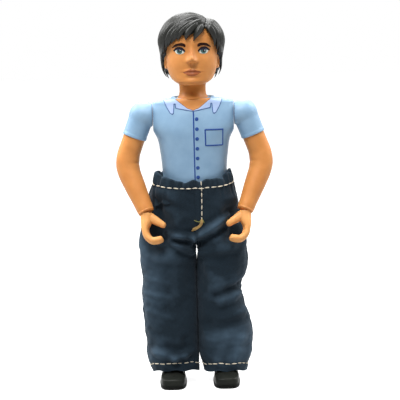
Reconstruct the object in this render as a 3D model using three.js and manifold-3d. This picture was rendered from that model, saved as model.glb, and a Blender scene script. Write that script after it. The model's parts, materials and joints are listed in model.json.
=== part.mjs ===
// Articulated plastic doll figure: a man in a moulded short-sleeved shirt and sewn cloth jeans.
// Millimetres, +Z up. The figure faces -Y and its own left side is +X.
import * as THREE from "three";
import { mergeVertices } from "three/addons/utils/BufferGeometryUtils.js";
import Module from "manifold-3d";

const wasm = await Module();
wasm.setup();

// Fits
const CLEARANCE = 0.3;
const SHELL_WALL = 1.6;
const CLOTH_THICKNESS = 0.8;

// Lengths that stack up from the floor
const ANKLE_HEIGHT = 8.2;
const SHIN_LENGTH = 24.8;
const THIGH_LENGTH = 27;
const HIP_TO_WAIST = 25;
const WAIST_TO_SHOULDER = 24.7;
const SHOULDER_TO_COLLAR = 6.6;
const NECK_LENGTH = 6.1;
const CHIN_DROP = 1.8;
const HEAD_HEIGHT = 26.7;

// Torso shells
const PELVIS_HALF_WIDTH = 12.2;
const WAIST_HALF_WIDTH = 12.8;
const CHEST_HALF_WIDTH = 14.5;
const WAIST_HALF_DEPTH = 8.2;
const CHEST_HALF_DEPTH = 9.4;
const SHOULDER_SEAM = 16.4;
const COLLAR_RADIUS = 8.7;
const COLLAR_WALL = 1.2;
const COLLAR_STAND = 0.5;
const POST_RADIUS = 1.5;

// Neck and head
const NECK_RADIUS = 5.35;
const NECK_STEM_RADIUS = 4.5;
const NECK_FLANGE = 1.4;
const NECK_FLANGE_RADIUS = 5.8;
const KNOB_RADIUS = 4.7;
const KNOB_HEIGHT = 4.2;
const HEAD_LIP = 1.9;
const HEAD_HALF_WIDTH = 10.1;
const FACE_DEPTH = 11;
const SKULL_DEPTH = 11.6;
const NOSE_LENGTH = 2.6;
const EAR_HEIGHT = 5.8;
const EAR_DEPTH = 3.6;
const EAR_STAND = 1.3;
const HAIR_THICKNESS = 2.7;
const HAIR_LOCK_DEPTH = 0.8;
const HAIR_LOCKS = 11;

// Arms and hands
const SHOULDER_RADIUS = 5.5;
const SHOULDER_ROUND = 6.4;
const STUB_RADIUS = 2.6;
const STUB_FLANGE_RADIUS = 3.9;
const STUB_FLANGE = 1.4;
const ELBOW_REACH = 11.5;
const UPPER_ARM_DROP = 19.4;
const WRIST_INSET = 8.3;
const WRIST_FORWARD = 8;
const FOREARM_DROP = 19;
const ELBOW_BEND_LENGTH = 6;
const SLEEVE_RADIUS = 4.75;
const SLEEVE_LENGTH = 9.8;
const ARM_RADIUS = 4.4;
const ELBOW_RADIUS = 4.65;
const FOREARM_END_RADIUS = 3.3;
const WRIST_RADIUS = 2.75;
const WRIST_PEG_RADIUS = 1.2;
const WRIST_PEG_BARB = 0.35;
const WRIST_PEG_LENGTH = 4.2;
const GRIP_RADIUS = 2.1;
const PALM_THICKNESS = 2.9;
const HAND_HALF_BREADTH = 2.9;

// Legs and shoes
const HIP_BARREL_RADIUS = 6.2;
const CROTCH_HALF_WIDTH = 2.2;
const CROTCH_BLOCK_RADIUS = 3.6;
const HIP_BARREL_WIDTH = 8.2;
const HIP_AXLE_RADIUS = 1.2;
const HIP_AXLE_REACH = 5.4;
const KNEE_SPREAD = 2.2;
const FOOT_SPREAD = 4.2;
const THIGH_HALF_WIDTH = 4.2;
const THIGH_HALF_DEPTH = 4.9;
const SHIN_HALF_WIDTH = 3.9;
const SHIN_HALF_DEPTH = 4;
const KNEE_RADIUS = 4;
const KNEE_TONGUE = 3;
const KNEE_PIN_RADIUS = 0.9;
const ANKLE_RADIUS = 3.2;
const ANKLE_PEG_RADIUS = 2.6;
const ANKLE_PEG_LENGTH = 5.2;
const SHOE_HALF_WIDTH = 5.35;
const SHOE_TOE_REACH = 15;
const SHOE_HEEL_REACH = 7.4;
const SOLE_THICKNESS = 1.4;
const SOLE_LIP = 0.25;
const TOE_HEIGHT = 4.5;

// Jeans, whose two legs hang differently. Each outline is the reach from the middle plane.
const CROTCH_DROP = 5;
const WAISTBAND_DROP = 1.4;
const WAISTBAND_SIDE_LIFT = 3.4;
const SEAT_HALF_DEPTH = 9.7;
const LEG_HALF_DEPTH = 9;
const HEM_HALF_DEPTH = 8.8;
const HEM_HEIGHT = 4.2;
const LEG_GAP = 0.35;
const WAISTBAND_PUCKER = 0.35;
const WAISTBAND_PUCKERS = 17;
const LEFT_LEG = {
  waist: 15.1,
  hip: 16.9,
  crotch: 20.1,
  thigh: 20,
  knee: 17.7,
  calf: 22,
  hem: 18.7,
  parting: 1.5,
  hemLift: 1.5,
};
const RIGHT_LEG = {
  waist: 16.8,
  hip: 19.4,
  crotch: 22.8,
  thigh: 22.8,
  knee: 22.4,
  calf: 21.8,
  hem: 18.7,
  parting: 0,
  hemLift: 2.2,
};

// Levels and places that follow from the sizes above
const KNEE_Z = ANKLE_HEIGHT + SHIN_LENGTH;
const HIP_Z = KNEE_Z + THIGH_LENGTH;
const PELVIS_FLOOR_Z = HIP_Z + HIP_BARREL_RADIUS + CLEARANCE;
const WAIST_Z = HIP_Z + HIP_TO_WAIST;
const SHOULDER_Z = WAIST_Z + WAIST_TO_SHOULDER;
const COLLAR_Z = SHOULDER_Z + SHOULDER_TO_COLLAR;
const NECK_TOP_Z = COLLAR_Z + NECK_LENGTH;
const CHIN_Z = NECK_TOP_Z - CHIN_DROP;
const CROWN_Z = CHIN_Z + HEAD_HEIGHT;
const HIP_X = CROTCH_HALF_WIDTH + CLEARANCE + HIP_BARREL_WIDTH / 2;
const KNEE_X = HIP_X + KNEE_SPREAD;
const FOOT_X = HIP_X + FOOT_SPREAD;
const CROTCH_Z = HIP_Z - CROTCH_DROP;
const WAISTBAND_Z = WAIST_Z - WAISTBAND_DROP;

// How far a cutting body runs past the figure
const FAR = 8 * SHOULDER_SEAM;

// Points around one loop
const SHOE_FACETS = 24;
const CLOTH_FACETS = 24;
const LIMB_FACETS = 12;

const FINISHES = {
  skin: { color: 0xdf9c60, roughness: 0.5 },
  shirt: { color: 0x8fb2d2, roughness: 0.55 },
  hair: { color: 0x262722, roughness: 0.4 },
  denim: { color: 0x2a3748, roughness: 0.95 },
  shoe: { color: 0x1b1d1a, roughness: 0.3 },
  pin: { color: 0xb9b4a8, roughness: 0.5 },
};

const between = (from, to, share) => from + (to - from) * share;
const bell = (distance, reach) => Math.exp(-((distance / reach) ** 2));

// Values that change smoothly along a list of stations, each with its place "at".
class Profile {
  constructor(stations) {
    this.names = Object.keys(stations[0]).filter((name) => name !== "at");
    const places = stations.map((station) => station.at);
    const values = stations.flatMap((station) => this.names.map((name) => station[name]));
    this.curve = new THREE.CubicInterpolant(places, values, this.names.length);
  }

  sample(at) {
    const values = Array.from(this.curve.evaluate(at));
    return Object.fromEntries(this.names.map((name, i) => [name, values[i]]));
  }
}

// A closed body for cutting and joining, with its faces turned outwards.
function solid(geometry) {
  const bare = geometry.index ? geometry.toNonIndexed() : geometry.clone();
  bare.deleteAttribute("normal");
  bare.deleteAttribute("uv");
  const merged = mergeVertices(bare, 1e-4);
  const corner = merged.index.array;
  const at = merged.attributes.position;
  const [a, b, c] = [new THREE.Vector3(), new THREE.Vector3(), new THREE.Vector3()];
  const faces = [];
  let volume = 0;
  for (let i = 0; i < corner.length; i += 3) {
    const [p, q, r] = [corner[i], corner[i + 1], corner[i + 2]];
    if (p === q || q === r || r === p) continue;
    faces.push(p, q, r);
    a.fromBufferAttribute(at, p);
    b.fromBufferAttribute(at, q);
    c.fromBufferAttribute(at, r);
    volume += a.dot(b.cross(c));
  }
  if (volume < 0) faces.reverse();
  return new wasm.Manifold(
    new wasm.Mesh({ numProp: 3, vertProperties: at.array, triVerts: new Uint32Array(faces) }),
  );
}

function pieceMesh(name, body, finish) {
  const { vertProperties, triVerts, numProp } = body.getMesh();
  const geometry = new THREE.BufferGeometry();
  const places = new Float32Array((vertProperties.length / numProp) * 3);
  for (let i = 0; i < places.length / 3; i++) {
    for (let axis = 0; axis < 3; axis++) places[3 * i + axis] = vertProperties[numProp * i + axis];
  }
  geometry.setAttribute("position", new THREE.BufferAttribute(places, 3));
  geometry.setIndex(Array.from(triVerts));
  geometry.computeVertexNormals();
  const mesh = new THREE.Mesh(geometry, new THREE.MeshStandardMaterial({ ...finish, metalness: 0 }));
  mesh.name = name;
  return mesh;
}

const joined = (bodies) => bodies.reduce((all, body) => all.add(body));
const without = (body, cutters) => cutters.reduce((rest, cutter) => rest.subtract(cutter), body);

function box(low, high) {
  const size = high.map((value, axis) => value - low[axis]);
  const geometry = new THREE.BoxGeometry(...size);
  geometry.translate(...low.map((value, axis) => value + size[axis] / 2));
  return solid(geometry);
}

// A round bar along X, Y or Z from one place on that axis to another.
function bar(axis, radius, from, to, centre, sides = 14) {
  const geometry = new THREE.CylinderGeometry(radius, radius, to - from, sides);
  if (axis === "x") geometry.rotateZ(Math.PI / 2);
  if (axis === "z") geometry.rotateX(Math.PI / 2);
  const place = new THREE.Vector3(...centre);
  place[axis] = (from + to) / 2;
  geometry.translate(place.x, place.y, place.z);
  return solid(geometry);
}

// A turned body about Z from [radius, height] pairs that start and end on the axis.
function turned(pairs, sides = 16) {
  const profile = pairs.map(([radius, height]) => new THREE.Vector2(radius, height));
  const geometry = new THREE.LatheGeometry(profile, sides);
  geometry.rotateX(Math.PI / 2);
  return solid(geometry);
}

function ellipsoid(centre, radii, sides = 14) {
  const geometry = new THREE.SphereGeometry(1, sides, sides / 2);
  geometry.scale(...radii);
  geometry.translate(...centre);
  return solid(geometry);
}

// A level loop of points, rounded between an oval and a box by its power. Crowding draws them to the front.
function levelRing({ z, x = 0, halfWidth, front, back, power = 2.3, crowding = 0 }, count) {
  const middle = (back - front) / 2;
  const halfDepth = (back + front) / 2;
  const rounded = (value) => Math.sign(value) * Math.abs(value) ** (2 / power);
  return Array.from({ length: count }, (_, i) => {
    const turn = (2 * Math.PI * i) / count;
    const angle = turn - crowding * Math.cos(turn);
    return new THREE.Vector3(
      x + halfWidth * rounded(Math.cos(angle)),
      middle + halfDepth * rounded(Math.sin(angle)),
      z,
    );
  });
}

// A skin over loops of equal length, closed by a fan at each end, or end to end when it is a tube.
function loft(rings, isTube = false) {
  const count = rings[0].length;
  const points = rings.flat();
  const faces = [];
  const spans = isTube ? rings.length : rings.length - 1;
  for (let k = 0; k < spans; k++) {
    const lower = k * count;
    const upper = ((k + 1) % rings.length) * count;
    for (let i = 0; i < count; i++) {
      const next = (i + 1) % count;
      faces.push(lower + i, lower + next, upper + next, lower + i, upper + next, upper + i);
    }
  }
  if (!isTube) {
    for (const [start, turn] of [[0, -1], [(rings.length - 1) * count, 1]]) {
      const centre = points.length;
      const middle = new THREE.Vector3();
      for (let i = 0; i < count; i++) middle.addScaledVector(points[start + i], 1 / count);
      points.push(middle);
      for (let i = 0; i < count; i++) {
        const [a, b] = [start + i, start + ((i + 1) % count)];
        faces.push(centre, ...(turn > 0 ? [a, b] : [b, a]));
      }
    }
  }
  const geometry = new THREE.BufferGeometry().setFromPoints(points);
  geometry.setIndex(faces);
  return solid(geometry);
}

// Loops square to a path. Each station gives its share of the path, half thickness and half depth.
function sweep(path, stations, count) {
  const rings = stations.map(({ share, across, depth }) => {
    const centre = path.getPointAt(share);
    const forward = path.getTangentAt(share);
    const back = new THREE.Vector3(0, 1, 0).addScaledVector(forward, -forward.y).normalize();
    const side = new THREE.Vector3().crossVectors(back, forward);
    return Array.from({ length: count }, (_, i) => {
      const angle = (2 * Math.PI * i) / count;
      return centre
        .clone()
        .addScaledVector(side, across * Math.cos(angle))
        .addScaledVector(back, depth * Math.sin(angle));
    });
  });
  return loft(rings);
}

function levels(from, to, count) {
  return Array.from({ length: count }, (_, i) => between(from, to, i / (count - 1)));
}

// Torso: two half shells that part on the plane of the arms
function torsoRings(profile, from, to, rows, count, inset) {
  return levels(from, to, rows).map((z) => {
    const { halfWidth, front, back } = profile.sample(z);
    return levelRing({ z, halfWidth: halfWidth - inset, front: front - inset, back: back - inset }, count);
  });
}

function torsoShells() {
  const shoulderFlat = SHOULDER_SEAM - CLEARANCE;
  const shoulderWidth = SHOULDER_SEAM + 0.8;
  const station = (at, halfWidth, front, back) => ({ at, halfWidth, front, back });
  const chestward = (share) => between(WAIST_Z, SHOULDER_Z, share);
  const neckward = (share) => between(SHOULDER_Z, COLLAR_Z, share);
  const waist = WAIST_HALF_DEPTH;
  const chest = CHEST_HALF_DEPTH;
  const ribs = between(WAIST_HALF_WIDTH, CHEST_HALF_WIDTH, 0.5);
  const yoke = between(COLLAR_RADIUS, shoulderWidth, 0.74);
  const profile = new Profile([
    station(PELVIS_FLOOR_Z, PELVIS_HALF_WIDTH - 0.8, waist - 0.4, waist),
    station(between(PELVIS_FLOOR_Z, WAIST_Z, 0.3), PELVIS_HALF_WIDTH, waist, waist),
    station(WAIST_Z, WAIST_HALF_WIDTH, waist, waist - 0.4),
    station(chestward(0.4), ribs, between(waist, chest, 0.65), waist),
    station(chestward(0.6), CHEST_HALF_WIDTH, chest, waist + 0.3),
    station(chestward(0.8), shoulderWidth - 0.5, chest, waist + 0.5),
    station(SHOULDER_Z, shoulderWidth, chest - 0.8, waist + 0.3),
    station(neckward(0.6), shoulderWidth - 0.4, chest - 2, waist - 0.8),
    station(neckward(0.85), yoke, COLLAR_RADIUS - 1.6, COLLAR_RADIUS - 1.6),
    station(COLLAR_Z, COLLAR_RADIUS - 0.4, COLLAR_RADIUS - 2, COLLAR_RADIUS - 2),
  ]);
  const flats = (reach) => box([-reach, -FAR, 0], [reach, FAR, 2 * COLLAR_Z]);
  const outside = torsoRings(profile, PELVIS_FLOOR_Z, COLLAR_Z, 14, 24, 0);
  const skin = loft(outside).intersect(flats(shoulderFlat));
  const hollow = loft(
    torsoRings(profile, PELVIS_FLOOR_Z + SHELL_WALL, COLLAR_Z - SHELL_WALL, 6, 14, SHELL_WALL),
  ).intersect(flats(shoulderFlat - SHELL_WALL));

  const collarTop = COLLAR_Z + COLLAR_STAND;
  const collarFoot = COLLAR_Z - 2.5;
  const collarInside = COLLAR_RADIUS - COLLAR_WALL;
  const collarBand = turned([
    [0, collarFoot],
    [COLLAR_RADIUS, collarFoot],
    [COLLAR_RADIUS - 0.2, collarTop],
    [0, collarTop],
  ]);
  const collarBore = bar("z", collarInside, COLLAR_Z, collarTop + 1, [0, 0, 0], 20);
  const collarMouth = new THREE.Shape();
  collarMouth.moveTo(0, 0);
  collarMouth.lineTo(FAR, -FAR);
  collarMouth.lineTo(-FAR, -FAR);
  const mouthGeometry = new THREE.ExtrudeGeometry(collarMouth, {
    depth: COLLAR_STAND + 1,
    bevelEnabled: false,
  });
  mouthGeometry.translate(0, 0, COLLAR_Z);

  const crotchBlock = joined([
    bar("x", CROTCH_BLOCK_RADIUS, -CROTCH_HALF_WIDTH, CROTCH_HALF_WIDTH, [0, 0, HIP_Z], 18),
    box(
      [-CROTCH_HALF_WIDTH, -CROTCH_BLOCK_RADIUS, HIP_Z],
      [CROTCH_HALF_WIDTH, CROTCH_BLOCK_RADIUS, PELVIS_FLOOR_Z + SHELL_WALL / 2],
    ),
  ]);
  const stubBore = bar("x", STUB_RADIUS + CLEARANCE, -FAR, FAR, [0, 0, SHOULDER_Z]);
  const underCollar = COLLAR_Z - SHELL_WALL;
  const middle = [0, 0, 0];
  const stemSpace = NECK_STEM_RADIUS + CLEARANCE;
  const neckBore = bar("z", stemSpace, underCollar - SHELL_WALL, collarTop + 1, middle, 20);
  const axleBore = bar("x", HIP_AXLE_RADIUS + CLEARANCE, -FAR, FAR, [0, 0, HIP_Z], 12);
  const roomForArms = shoulderFlat - SHELL_WALL;
  const shoulderAxis = [0, 0, SHOULDER_Z];
  const armChamber = bar("x", STUB_FLANGE_RADIUS + CLEARANCE, -roomForArms, roomForArms, shoulderAxis);
  const neckChamber = bar("z", NECK_FLANGE_RADIUS + CLEARANCE, SHOULDER_Z, underCollar, middle, 20);
  const shell = without(joined([skin, collarBand, crotchBlock]), [
    collarBore,
    solid(mouthGeometry),
    hollow,
    stubBore,
    neckBore,
    axleBore,
    armChamber,
    neckChamber,
  ]);

  const frontSpace = box([-FAR, -FAR, 0], [FAR, -CLEARANCE / 2, 2 * COLLAR_Z]);
  const backSpace = box([-FAR, CLEARANCE / 2, 0], [FAR, FAR, 2 * COLLAR_Z]);
  const postLevels = [between(PELVIS_FLOOR_Z, WAIST_Z, 0.5), between(WAIST_Z, SHOULDER_Z, 0.35)];
  const postReach = 2.4;
  const bossRadius = POST_RADIUS + CLEARANCE + 1.1;
  const wallMiddle = WAIST_HALF_DEPTH - SHELL_WALL / 2;
  const bosses = postLevels.map((z) => bar("y", bossRadius, -wallMiddle, -CLEARANCE / 2, [0, 0, z], 8));
  const sockets = postLevels.map((z) =>
    bar("y", POST_RADIUS + CLEARANCE, -postReach - CLEARANCE, 1, [0, 0, z], 8),
  );
  const posts = postLevels.map((z) => bar("y", POST_RADIUS, -postReach, wallMiddle, [0, 0, z], 8));
  const front = without(joined([shell.intersect(frontSpace), ...bosses]), sockets);
  const back = joined([shell.intersect(backSpace), ...posts]);
  return { front, back };
}

// Neck: flange inside the torso, flared foot, and a knob that snaps into the head
function neckPost() {
  const flangeTop = COLLAR_Z - SHELL_WALL - CLEARANCE;
  const foot = COLLAR_Z + CLEARANCE;
  const footRadius = COLLAR_RADIUS - COLLAR_WALL - CLEARANCE;
  const grooveTop = NECK_TOP_Z + HEAD_LIP + 2 * CLEARANCE;
  const knobTop = grooveTop + KNOB_HEIGHT;
  return turned([
    [0, flangeTop - NECK_FLANGE],
    [NECK_FLANGE_RADIUS, flangeTop - NECK_FLANGE],
    [NECK_FLANGE_RADIUS, flangeTop],
    [NECK_STEM_RADIUS, flangeTop],
    [NECK_STEM_RADIUS, foot],
    [footRadius, foot],
    [between(NECK_RADIUS, footRadius, 0.55), foot + NECK_LENGTH * 0.14],
    [between(NECK_RADIUS, footRadius, 0.2), foot + NECK_LENGTH * 0.3],
    [NECK_RADIUS, foot + NECK_LENGTH * 0.5],
    [NECK_RADIUS, NECK_TOP_Z],
    [KNOB_RADIUS - 1, NECK_TOP_Z],
    [KNOB_RADIUS - 1, grooveTop],
    [KNOB_RADIUS, grooveTop],
    [KNOB_RADIUS, grooveTop + KNOB_HEIGHT * 0.3],
    [KNOB_RADIUS * 0.7, knobTop],
    [0, knobTop],
  ]);
}

const HEAD_ROWS = 19;
const HEAD_FACETS = 32;

// Head: level sections with the face pressed out of them, ears, and the socket for the neck
// Each station is a share of the head's height, with its half width, front and back.
const headStation = (share, across, front, back) => ({
  at: CHIN_Z + HEAD_HEIGHT * share,
  halfWidth: HEAD_HALF_WIDTH * across,
  front,
  back,
});
const headProfile = new Profile([
  headStation(0, 0.3, FACE_DEPTH - 1, 1 - FACE_DEPTH / 2),
  headStation(0.045, 0.56, FACE_DEPTH - 0.2, 0.5),
  headStation(0.1, 0.75, FACE_DEPTH, SKULL_DEPTH * 0.58),
  headStation(0.16, 0.865, FACE_DEPTH, SKULL_DEPTH * 0.74),
  headStation(0.25, 0.94, FACE_DEPTH, SKULL_DEPTH * 0.86),
  headStation(0.38, 0.985, FACE_DEPTH, SKULL_DEPTH * 0.95),
  headStation(0.55, 1, FACE_DEPTH - 0.4, SKULL_DEPTH),
  headStation(0.73, 1, FACE_DEPTH - 0.6, SKULL_DEPTH),
  headStation(0.87, 0.85, FACE_DEPTH - 2.6, SKULL_DEPTH * 0.87),
  headStation(0.96, 0.55, FACE_DEPTH * 0.5, SKULL_DEPTH * 0.58),
  headStation(1, 0.2, FACE_DEPTH * 0.18, SKULL_DEPTH * 0.22),
]);

// How far the face stands out at a place, with rises measured from the chin
function faceRelief(x, rise) {
  const share = rise / HEAD_HEIGHT;
  const side = Math.abs(x);
  const above = share > 0.4;
  const nose = NOSE_LENGTH * bell(x, above ? 1.2 : 1.6) * bell(share - 0.4, above ? 0.125 : 0.035);
  const lips = 0.55 * bell(x, 3.2) * (bell(share - 0.245, 0.025) + bell(share - 0.175, 0.035));
  const chin = 0.7 * bell(x, 2.6) * bell(share - 0.06, 0.06);
  const socket = -0.6 * bell(side - 4.6, 2.2) * bell(share - 0.53, 0.055);
  const brow = 0.4 * bell(side - 4.6, 3) * bell(share - 0.63, 0.04);
  return nose + lips + chin + socket + brow;
}

function headRing(z, count, grow) {
  const { halfWidth, front, back } = headProfile.sample(z);
  const section = { halfWidth: halfWidth + grow, front: front + grow, back: back + grow };
  return levelRing({ z, ...section, power: 2.15, crowding: 0.5 }, count);
}

function headSolid() {
  const rings = levels(CHIN_Z, CROWN_Z, HEAD_ROWS).map((z) =>
    headRing(z, HEAD_FACETS, 0).map((point) => {
      const facing = THREE.MathUtils.smoothstep(-point.y, 0, FACE_DEPTH * 0.6);
      point.y -= facing * faceRelief(point.x, z - CHIN_Z);
      return point;
    }),
  );
  const earZ = CHIN_Z + HEAD_HEIGHT * 0.37;
  const ears = [-1, 1].map((side) => {
    const geometry = new THREE.SphereGeometry(1, 10, 6);
    geometry.scale(EAR_STAND, EAR_DEPTH / 2, EAR_HEIGHT / 2);
    geometry.rotateX(0.2);
    geometry.rotateZ(side * 0.35);
    geometry.translate(side * (HEAD_HALF_WIDTH - 0.1), 1.2, earZ);
    return solid(geometry);
  });
  const lip = NECK_TOP_Z + CLEARANCE;
  const cavityTop = NECK_TOP_Z + HEAD_LIP + KNOB_HEIGHT + 3 * CLEARANCE;
  const socket = turned([
    [0, 0],
    [NECK_RADIUS + CLEARANCE, 0],
    [NECK_RADIUS + CLEARANCE, lip],
    [KNOB_RADIUS - 1 + CLEARANCE, lip],
    [KNOB_RADIUS - 1 + CLEARANCE, lip + HEAD_LIP],
    [KNOB_RADIUS + CLEARANCE, lip + HEAD_LIP],
    [KNOB_RADIUS + CLEARANCE, cavityTop],
    [0, cavityTop],
  ]);
  return joined([loft(rings), ...ears]).subtract(socket);
}

// Hair: a cap of swept locks, cut away for the face and the ears
function hairSolid() {
  const top = CROWN_Z + HAIR_THICKNESS;
  const nape = CHIN_Z + HEAD_HEIGHT * 0.06;
  const wide = HEAD_HALF_WIDTH + HAIR_THICKNESS + 0.4;
  const deepFront = FACE_DEPTH + HAIR_THICKNESS - 0.8;
  const deepBack = SKULL_DEPTH + HAIR_THICKNESS - 0.3;
  const height = top - nape;
  const profile = new Profile([
    { at: nape, halfWidth: wide * 0.64, front: 1, back: deepBack * 0.74 },
    { at: nape + height * 0.1, halfWidth: wide * 0.81, front: 3, back: deepBack * 0.85 },
    { at: nape + height * 0.3, halfWidth: wide * 0.955, front: deepFront * 0.6, back: deepBack * 0.955 },
    { at: nape + height * 0.5, halfWidth: wide, front: deepFront * 0.95, back: deepBack },
    { at: nape + height * 0.66, halfWidth: wide * 0.995, front: deepFront, back: deepBack },
    { at: nape + height * 0.8, halfWidth: wide * 0.9, front: deepFront * 0.92, back: deepBack * 0.91 },
    { at: nape + height * 0.91, halfWidth: wide * 0.68, front: deepFront * 0.7, back: deepBack * 0.7 },
    { at: nape + height * 0.97, halfWidth: wide * 0.43, front: deepFront * 0.45, back: deepBack * 0.45 },
    { at: top, halfWidth: wide * 0.15, front: deepFront * 0.15, back: deepBack * 0.15 },
  ]);
  const rings = levels(nape, top, 13).map((z) => {
    const section = profile.sample(z);
    const share = (z - nape) / height;
    return levelRing({ z, ...section, power: 2.1 }, 4 * HAIR_LOCKS).map((point) => {
      const angle = Math.atan2(point.y, point.x);
      const swept = HAIR_LOCKS * (angle + 1.5 * share);
      const ridge = Math.abs(Math.sin(swept / 2)) - 0.6;
      const reach = Math.hypot(point.x, point.y);
      const fade = Math.min(1, reach / 6);
      const growth = (HAIR_LOCK_DEPTH * ridge * fade) / Math.max(reach, 1);
      const nearTop = THREE.MathUtils.smoothstep(share, 0.66, 0.85);
      const parted = 0.08 * nearTop * THREE.MathUtils.smoothstep(point.x, 3, 8);
      return new THREE.Vector3(point.x * (1 + growth - parted), point.y * (1 + growth), z);
    });
  });
  const scalp = loft(
    levels(CHIN_Z, CROWN_Z, HEAD_ROWS).map((z) => {
      const lift = 1.2 * CLEARANCE * (2 * ((z - CHIN_Z) / HEAD_HEIGHT) - 1);
      return headRing(z, HEAD_FACETS, CLEARANCE).map((point) => point.setZ(z + lift));
    }),
  );
  const neckSpace = bar("z", NECK_RADIUS + 2 * CLEARANCE, 0, NECK_TOP_Z + CLEARANCE, [0, 0, 0], 20);

  // Outline of the face opening seen from the front, swept fringe with one pointed lock
  const rise = (share) => CHIN_Z + HEAD_HEIGHT * share;
  const half = HEAD_HALF_WIDTH;
  const opening = new THREE.Shape();
  opening.moveTo(-FAR, rise(0.44));
  opening.lineTo(-half * 0.94, rise(0.45));
  opening.quadraticCurveTo(-half * 0.93, rise(0.6), -half * 0.68, rise(0.685));
  opening.quadraticCurveTo(-half * 0.3, rise(0.735), half * 0.0, rise(0.735));
  opening.lineTo(half * 0.14, rise(0.69));
  opening.quadraticCurveTo(half * 0.3, rise(0.77), half * 0.56, rise(0.85));
  opening.quadraticCurveTo(half * 0.85, rise(0.7), half * 0.95, rise(0.48));
  opening.lineTo(FAR, rise(0.44));
  opening.lineTo(FAR, -FAR);
  opening.lineTo(-FAR, -FAR);
  const openingGeometry = new THREE.ExtrudeGeometry(opening, {
    depth: FAR,
    bevelEnabled: false,
    curveSegments: 5,
  });
  openingGeometry.rotateX(Math.PI / 2);
  openingGeometry.translate(0, -1, 0);
  const earSpace = box([-FAR, -FAR, 0], [FAR, 3.6, rise(0.485)]);
  return without(loft(rings), [scalp, neckSpace, solid(openingGeometry), earSpace]);
}

// Arm: shoulder round, short sleeve, bent elbow, and a barbed bore for the hand
function armPath() {
  const shoulder = new THREE.Vector3(SHOULDER_SEAM + SHOULDER_RADIUS * 0.7, 0, SHOULDER_Z + 0.6);
  const elbow = new THREE.Vector3(SHOULDER_SEAM + ELBOW_REACH, 0, SHOULDER_Z - UPPER_ARM_DROP);
  const wrist = new THREE.Vector3(elbow.x - WRIST_INSET, -WRIST_FORWARD, elbow.z - FOREARM_DROP);
  const bendStart = elbow.clone().lerp(shoulder, ELBOW_BEND_LENGTH / elbow.distanceTo(shoulder));
  const bendEnd = elbow.clone().lerp(wrist, ELBOW_BEND_LENGTH / elbow.distanceTo(wrist));
  const path = new THREE.CurvePath();
  path.add(new THREE.LineCurve3(shoulder, bendStart));
  path.add(new THREE.QuadraticBezierCurve3(bendStart, elbow, bendEnd));
  path.add(new THREE.LineCurve3(bendEnd, wrist));
  return path;
}

const arm = armPath();
const armLength = arm.getLength();

// Placement of the hand: origin at the wrist, +Z up the forearm, +X away from the body
function wristFrame() {
  const up = arm.getTangentAt(1).negate();
  const back = new THREE.Vector3(0, 1, 0).addScaledVector(up, -up.y).normalize();
  const out = new THREE.Vector3().crossVectors(back, up);
  return new THREE.Matrix4().makeBasis(out, back, up).setPosition(arm.getPointAt(1));
}

function wristPeg(grow) {
  const foot = -2;
  const head = WRIST_PEG_LENGTH + grow;
  const neck = WRIST_PEG_RADIUS + grow;
  const barb = neck + WRIST_PEG_BARB;
  return turned(
    [
      [0, foot],
      [neck, foot],
      [neck, head * 0.45 - grow],
      [barb, head * 0.6 - grow],
      [barb, head * 0.8],
      [neck * 0.7, head],
      [0, head],
    ],
    12,
  );
}

function armSolid() {
  const hem = SLEEVE_LENGTH / armLength;
  const step = 0.12 / armLength;
  const bend = (arm.curves[0].getLength() + arm.curves[1].getLength() / 2) / armLength;
  const lowerArm = between(FOREARM_END_RADIUS, ARM_RADIUS, 0.6);
  const stations = [
    { share: 0, across: SLEEVE_RADIUS + 0.2, depth: SLEEVE_RADIUS + 0.2 },
    { share: hem * 0.55, across: SLEEVE_RADIUS + 0.1, depth: SLEEVE_RADIUS + 0.1 },
    { share: hem, across: SLEEVE_RADIUS, depth: SLEEVE_RADIUS },
    { share: hem + step, across: ARM_RADIUS, depth: ARM_RADIUS },
    { share: between(hem, bend, 0.5), across: ARM_RADIUS, depth: ARM_RADIUS },
    { share: bend * 0.93, across: ELBOW_RADIUS, depth: ELBOW_RADIUS - 0.1 },
    { share: bend, across: ELBOW_RADIUS, depth: ELBOW_RADIUS - 0.1 },
    { share: bend * 1.07, across: ELBOW_RADIUS - 0.1, depth: ELBOW_RADIUS - 0.1 },
    { share: between(bend, 1, 0.35), across: ARM_RADIUS - 0.1, depth: ARM_RADIUS - 0.1 },
    { share: between(bend, 1, 0.7), across: lowerArm, depth: lowerArm },
    { share: 1 - 0.8 / armLength, across: FOREARM_END_RADIUS, depth: FOREARM_END_RADIUS },
    { share: 1, across: FOREARM_END_RADIUS - 0.4, depth: FOREARM_END_RADIUS - 0.4 },
  ];
  const limb = sweep(arm, stations, 14);
  const outside = box([SHOULDER_SEAM, -FAR, 0], [FAR, FAR, FAR]);
  const round = ellipsoid(
    [SHOULDER_SEAM + SHOULDER_ROUND * 0.45, 0, SHOULDER_Z],
    [SHOULDER_ROUND, SHOULDER_RADIUS, SHOULDER_RADIUS],
  );
  const wallInside = SHOULDER_SEAM - CLEARANCE - SHELL_WALL - CLEARANCE;
  const stub = bar("x", STUB_RADIUS, wallInside - 0.5, SHOULDER_SEAM + 2, [0, 0, SHOULDER_Z]);
  const flange = bar("x", STUB_FLANGE_RADIUS, wallInside - STUB_FLANGE, wallInside, [0, 0, SHOULDER_Z]);
  const bore = wristPeg(CLEARANCE).transform(wristFrame().toArray());
  return joined([joined([limb, round]).intersect(outside), stub, flange]).subtract(bore);
}

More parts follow.
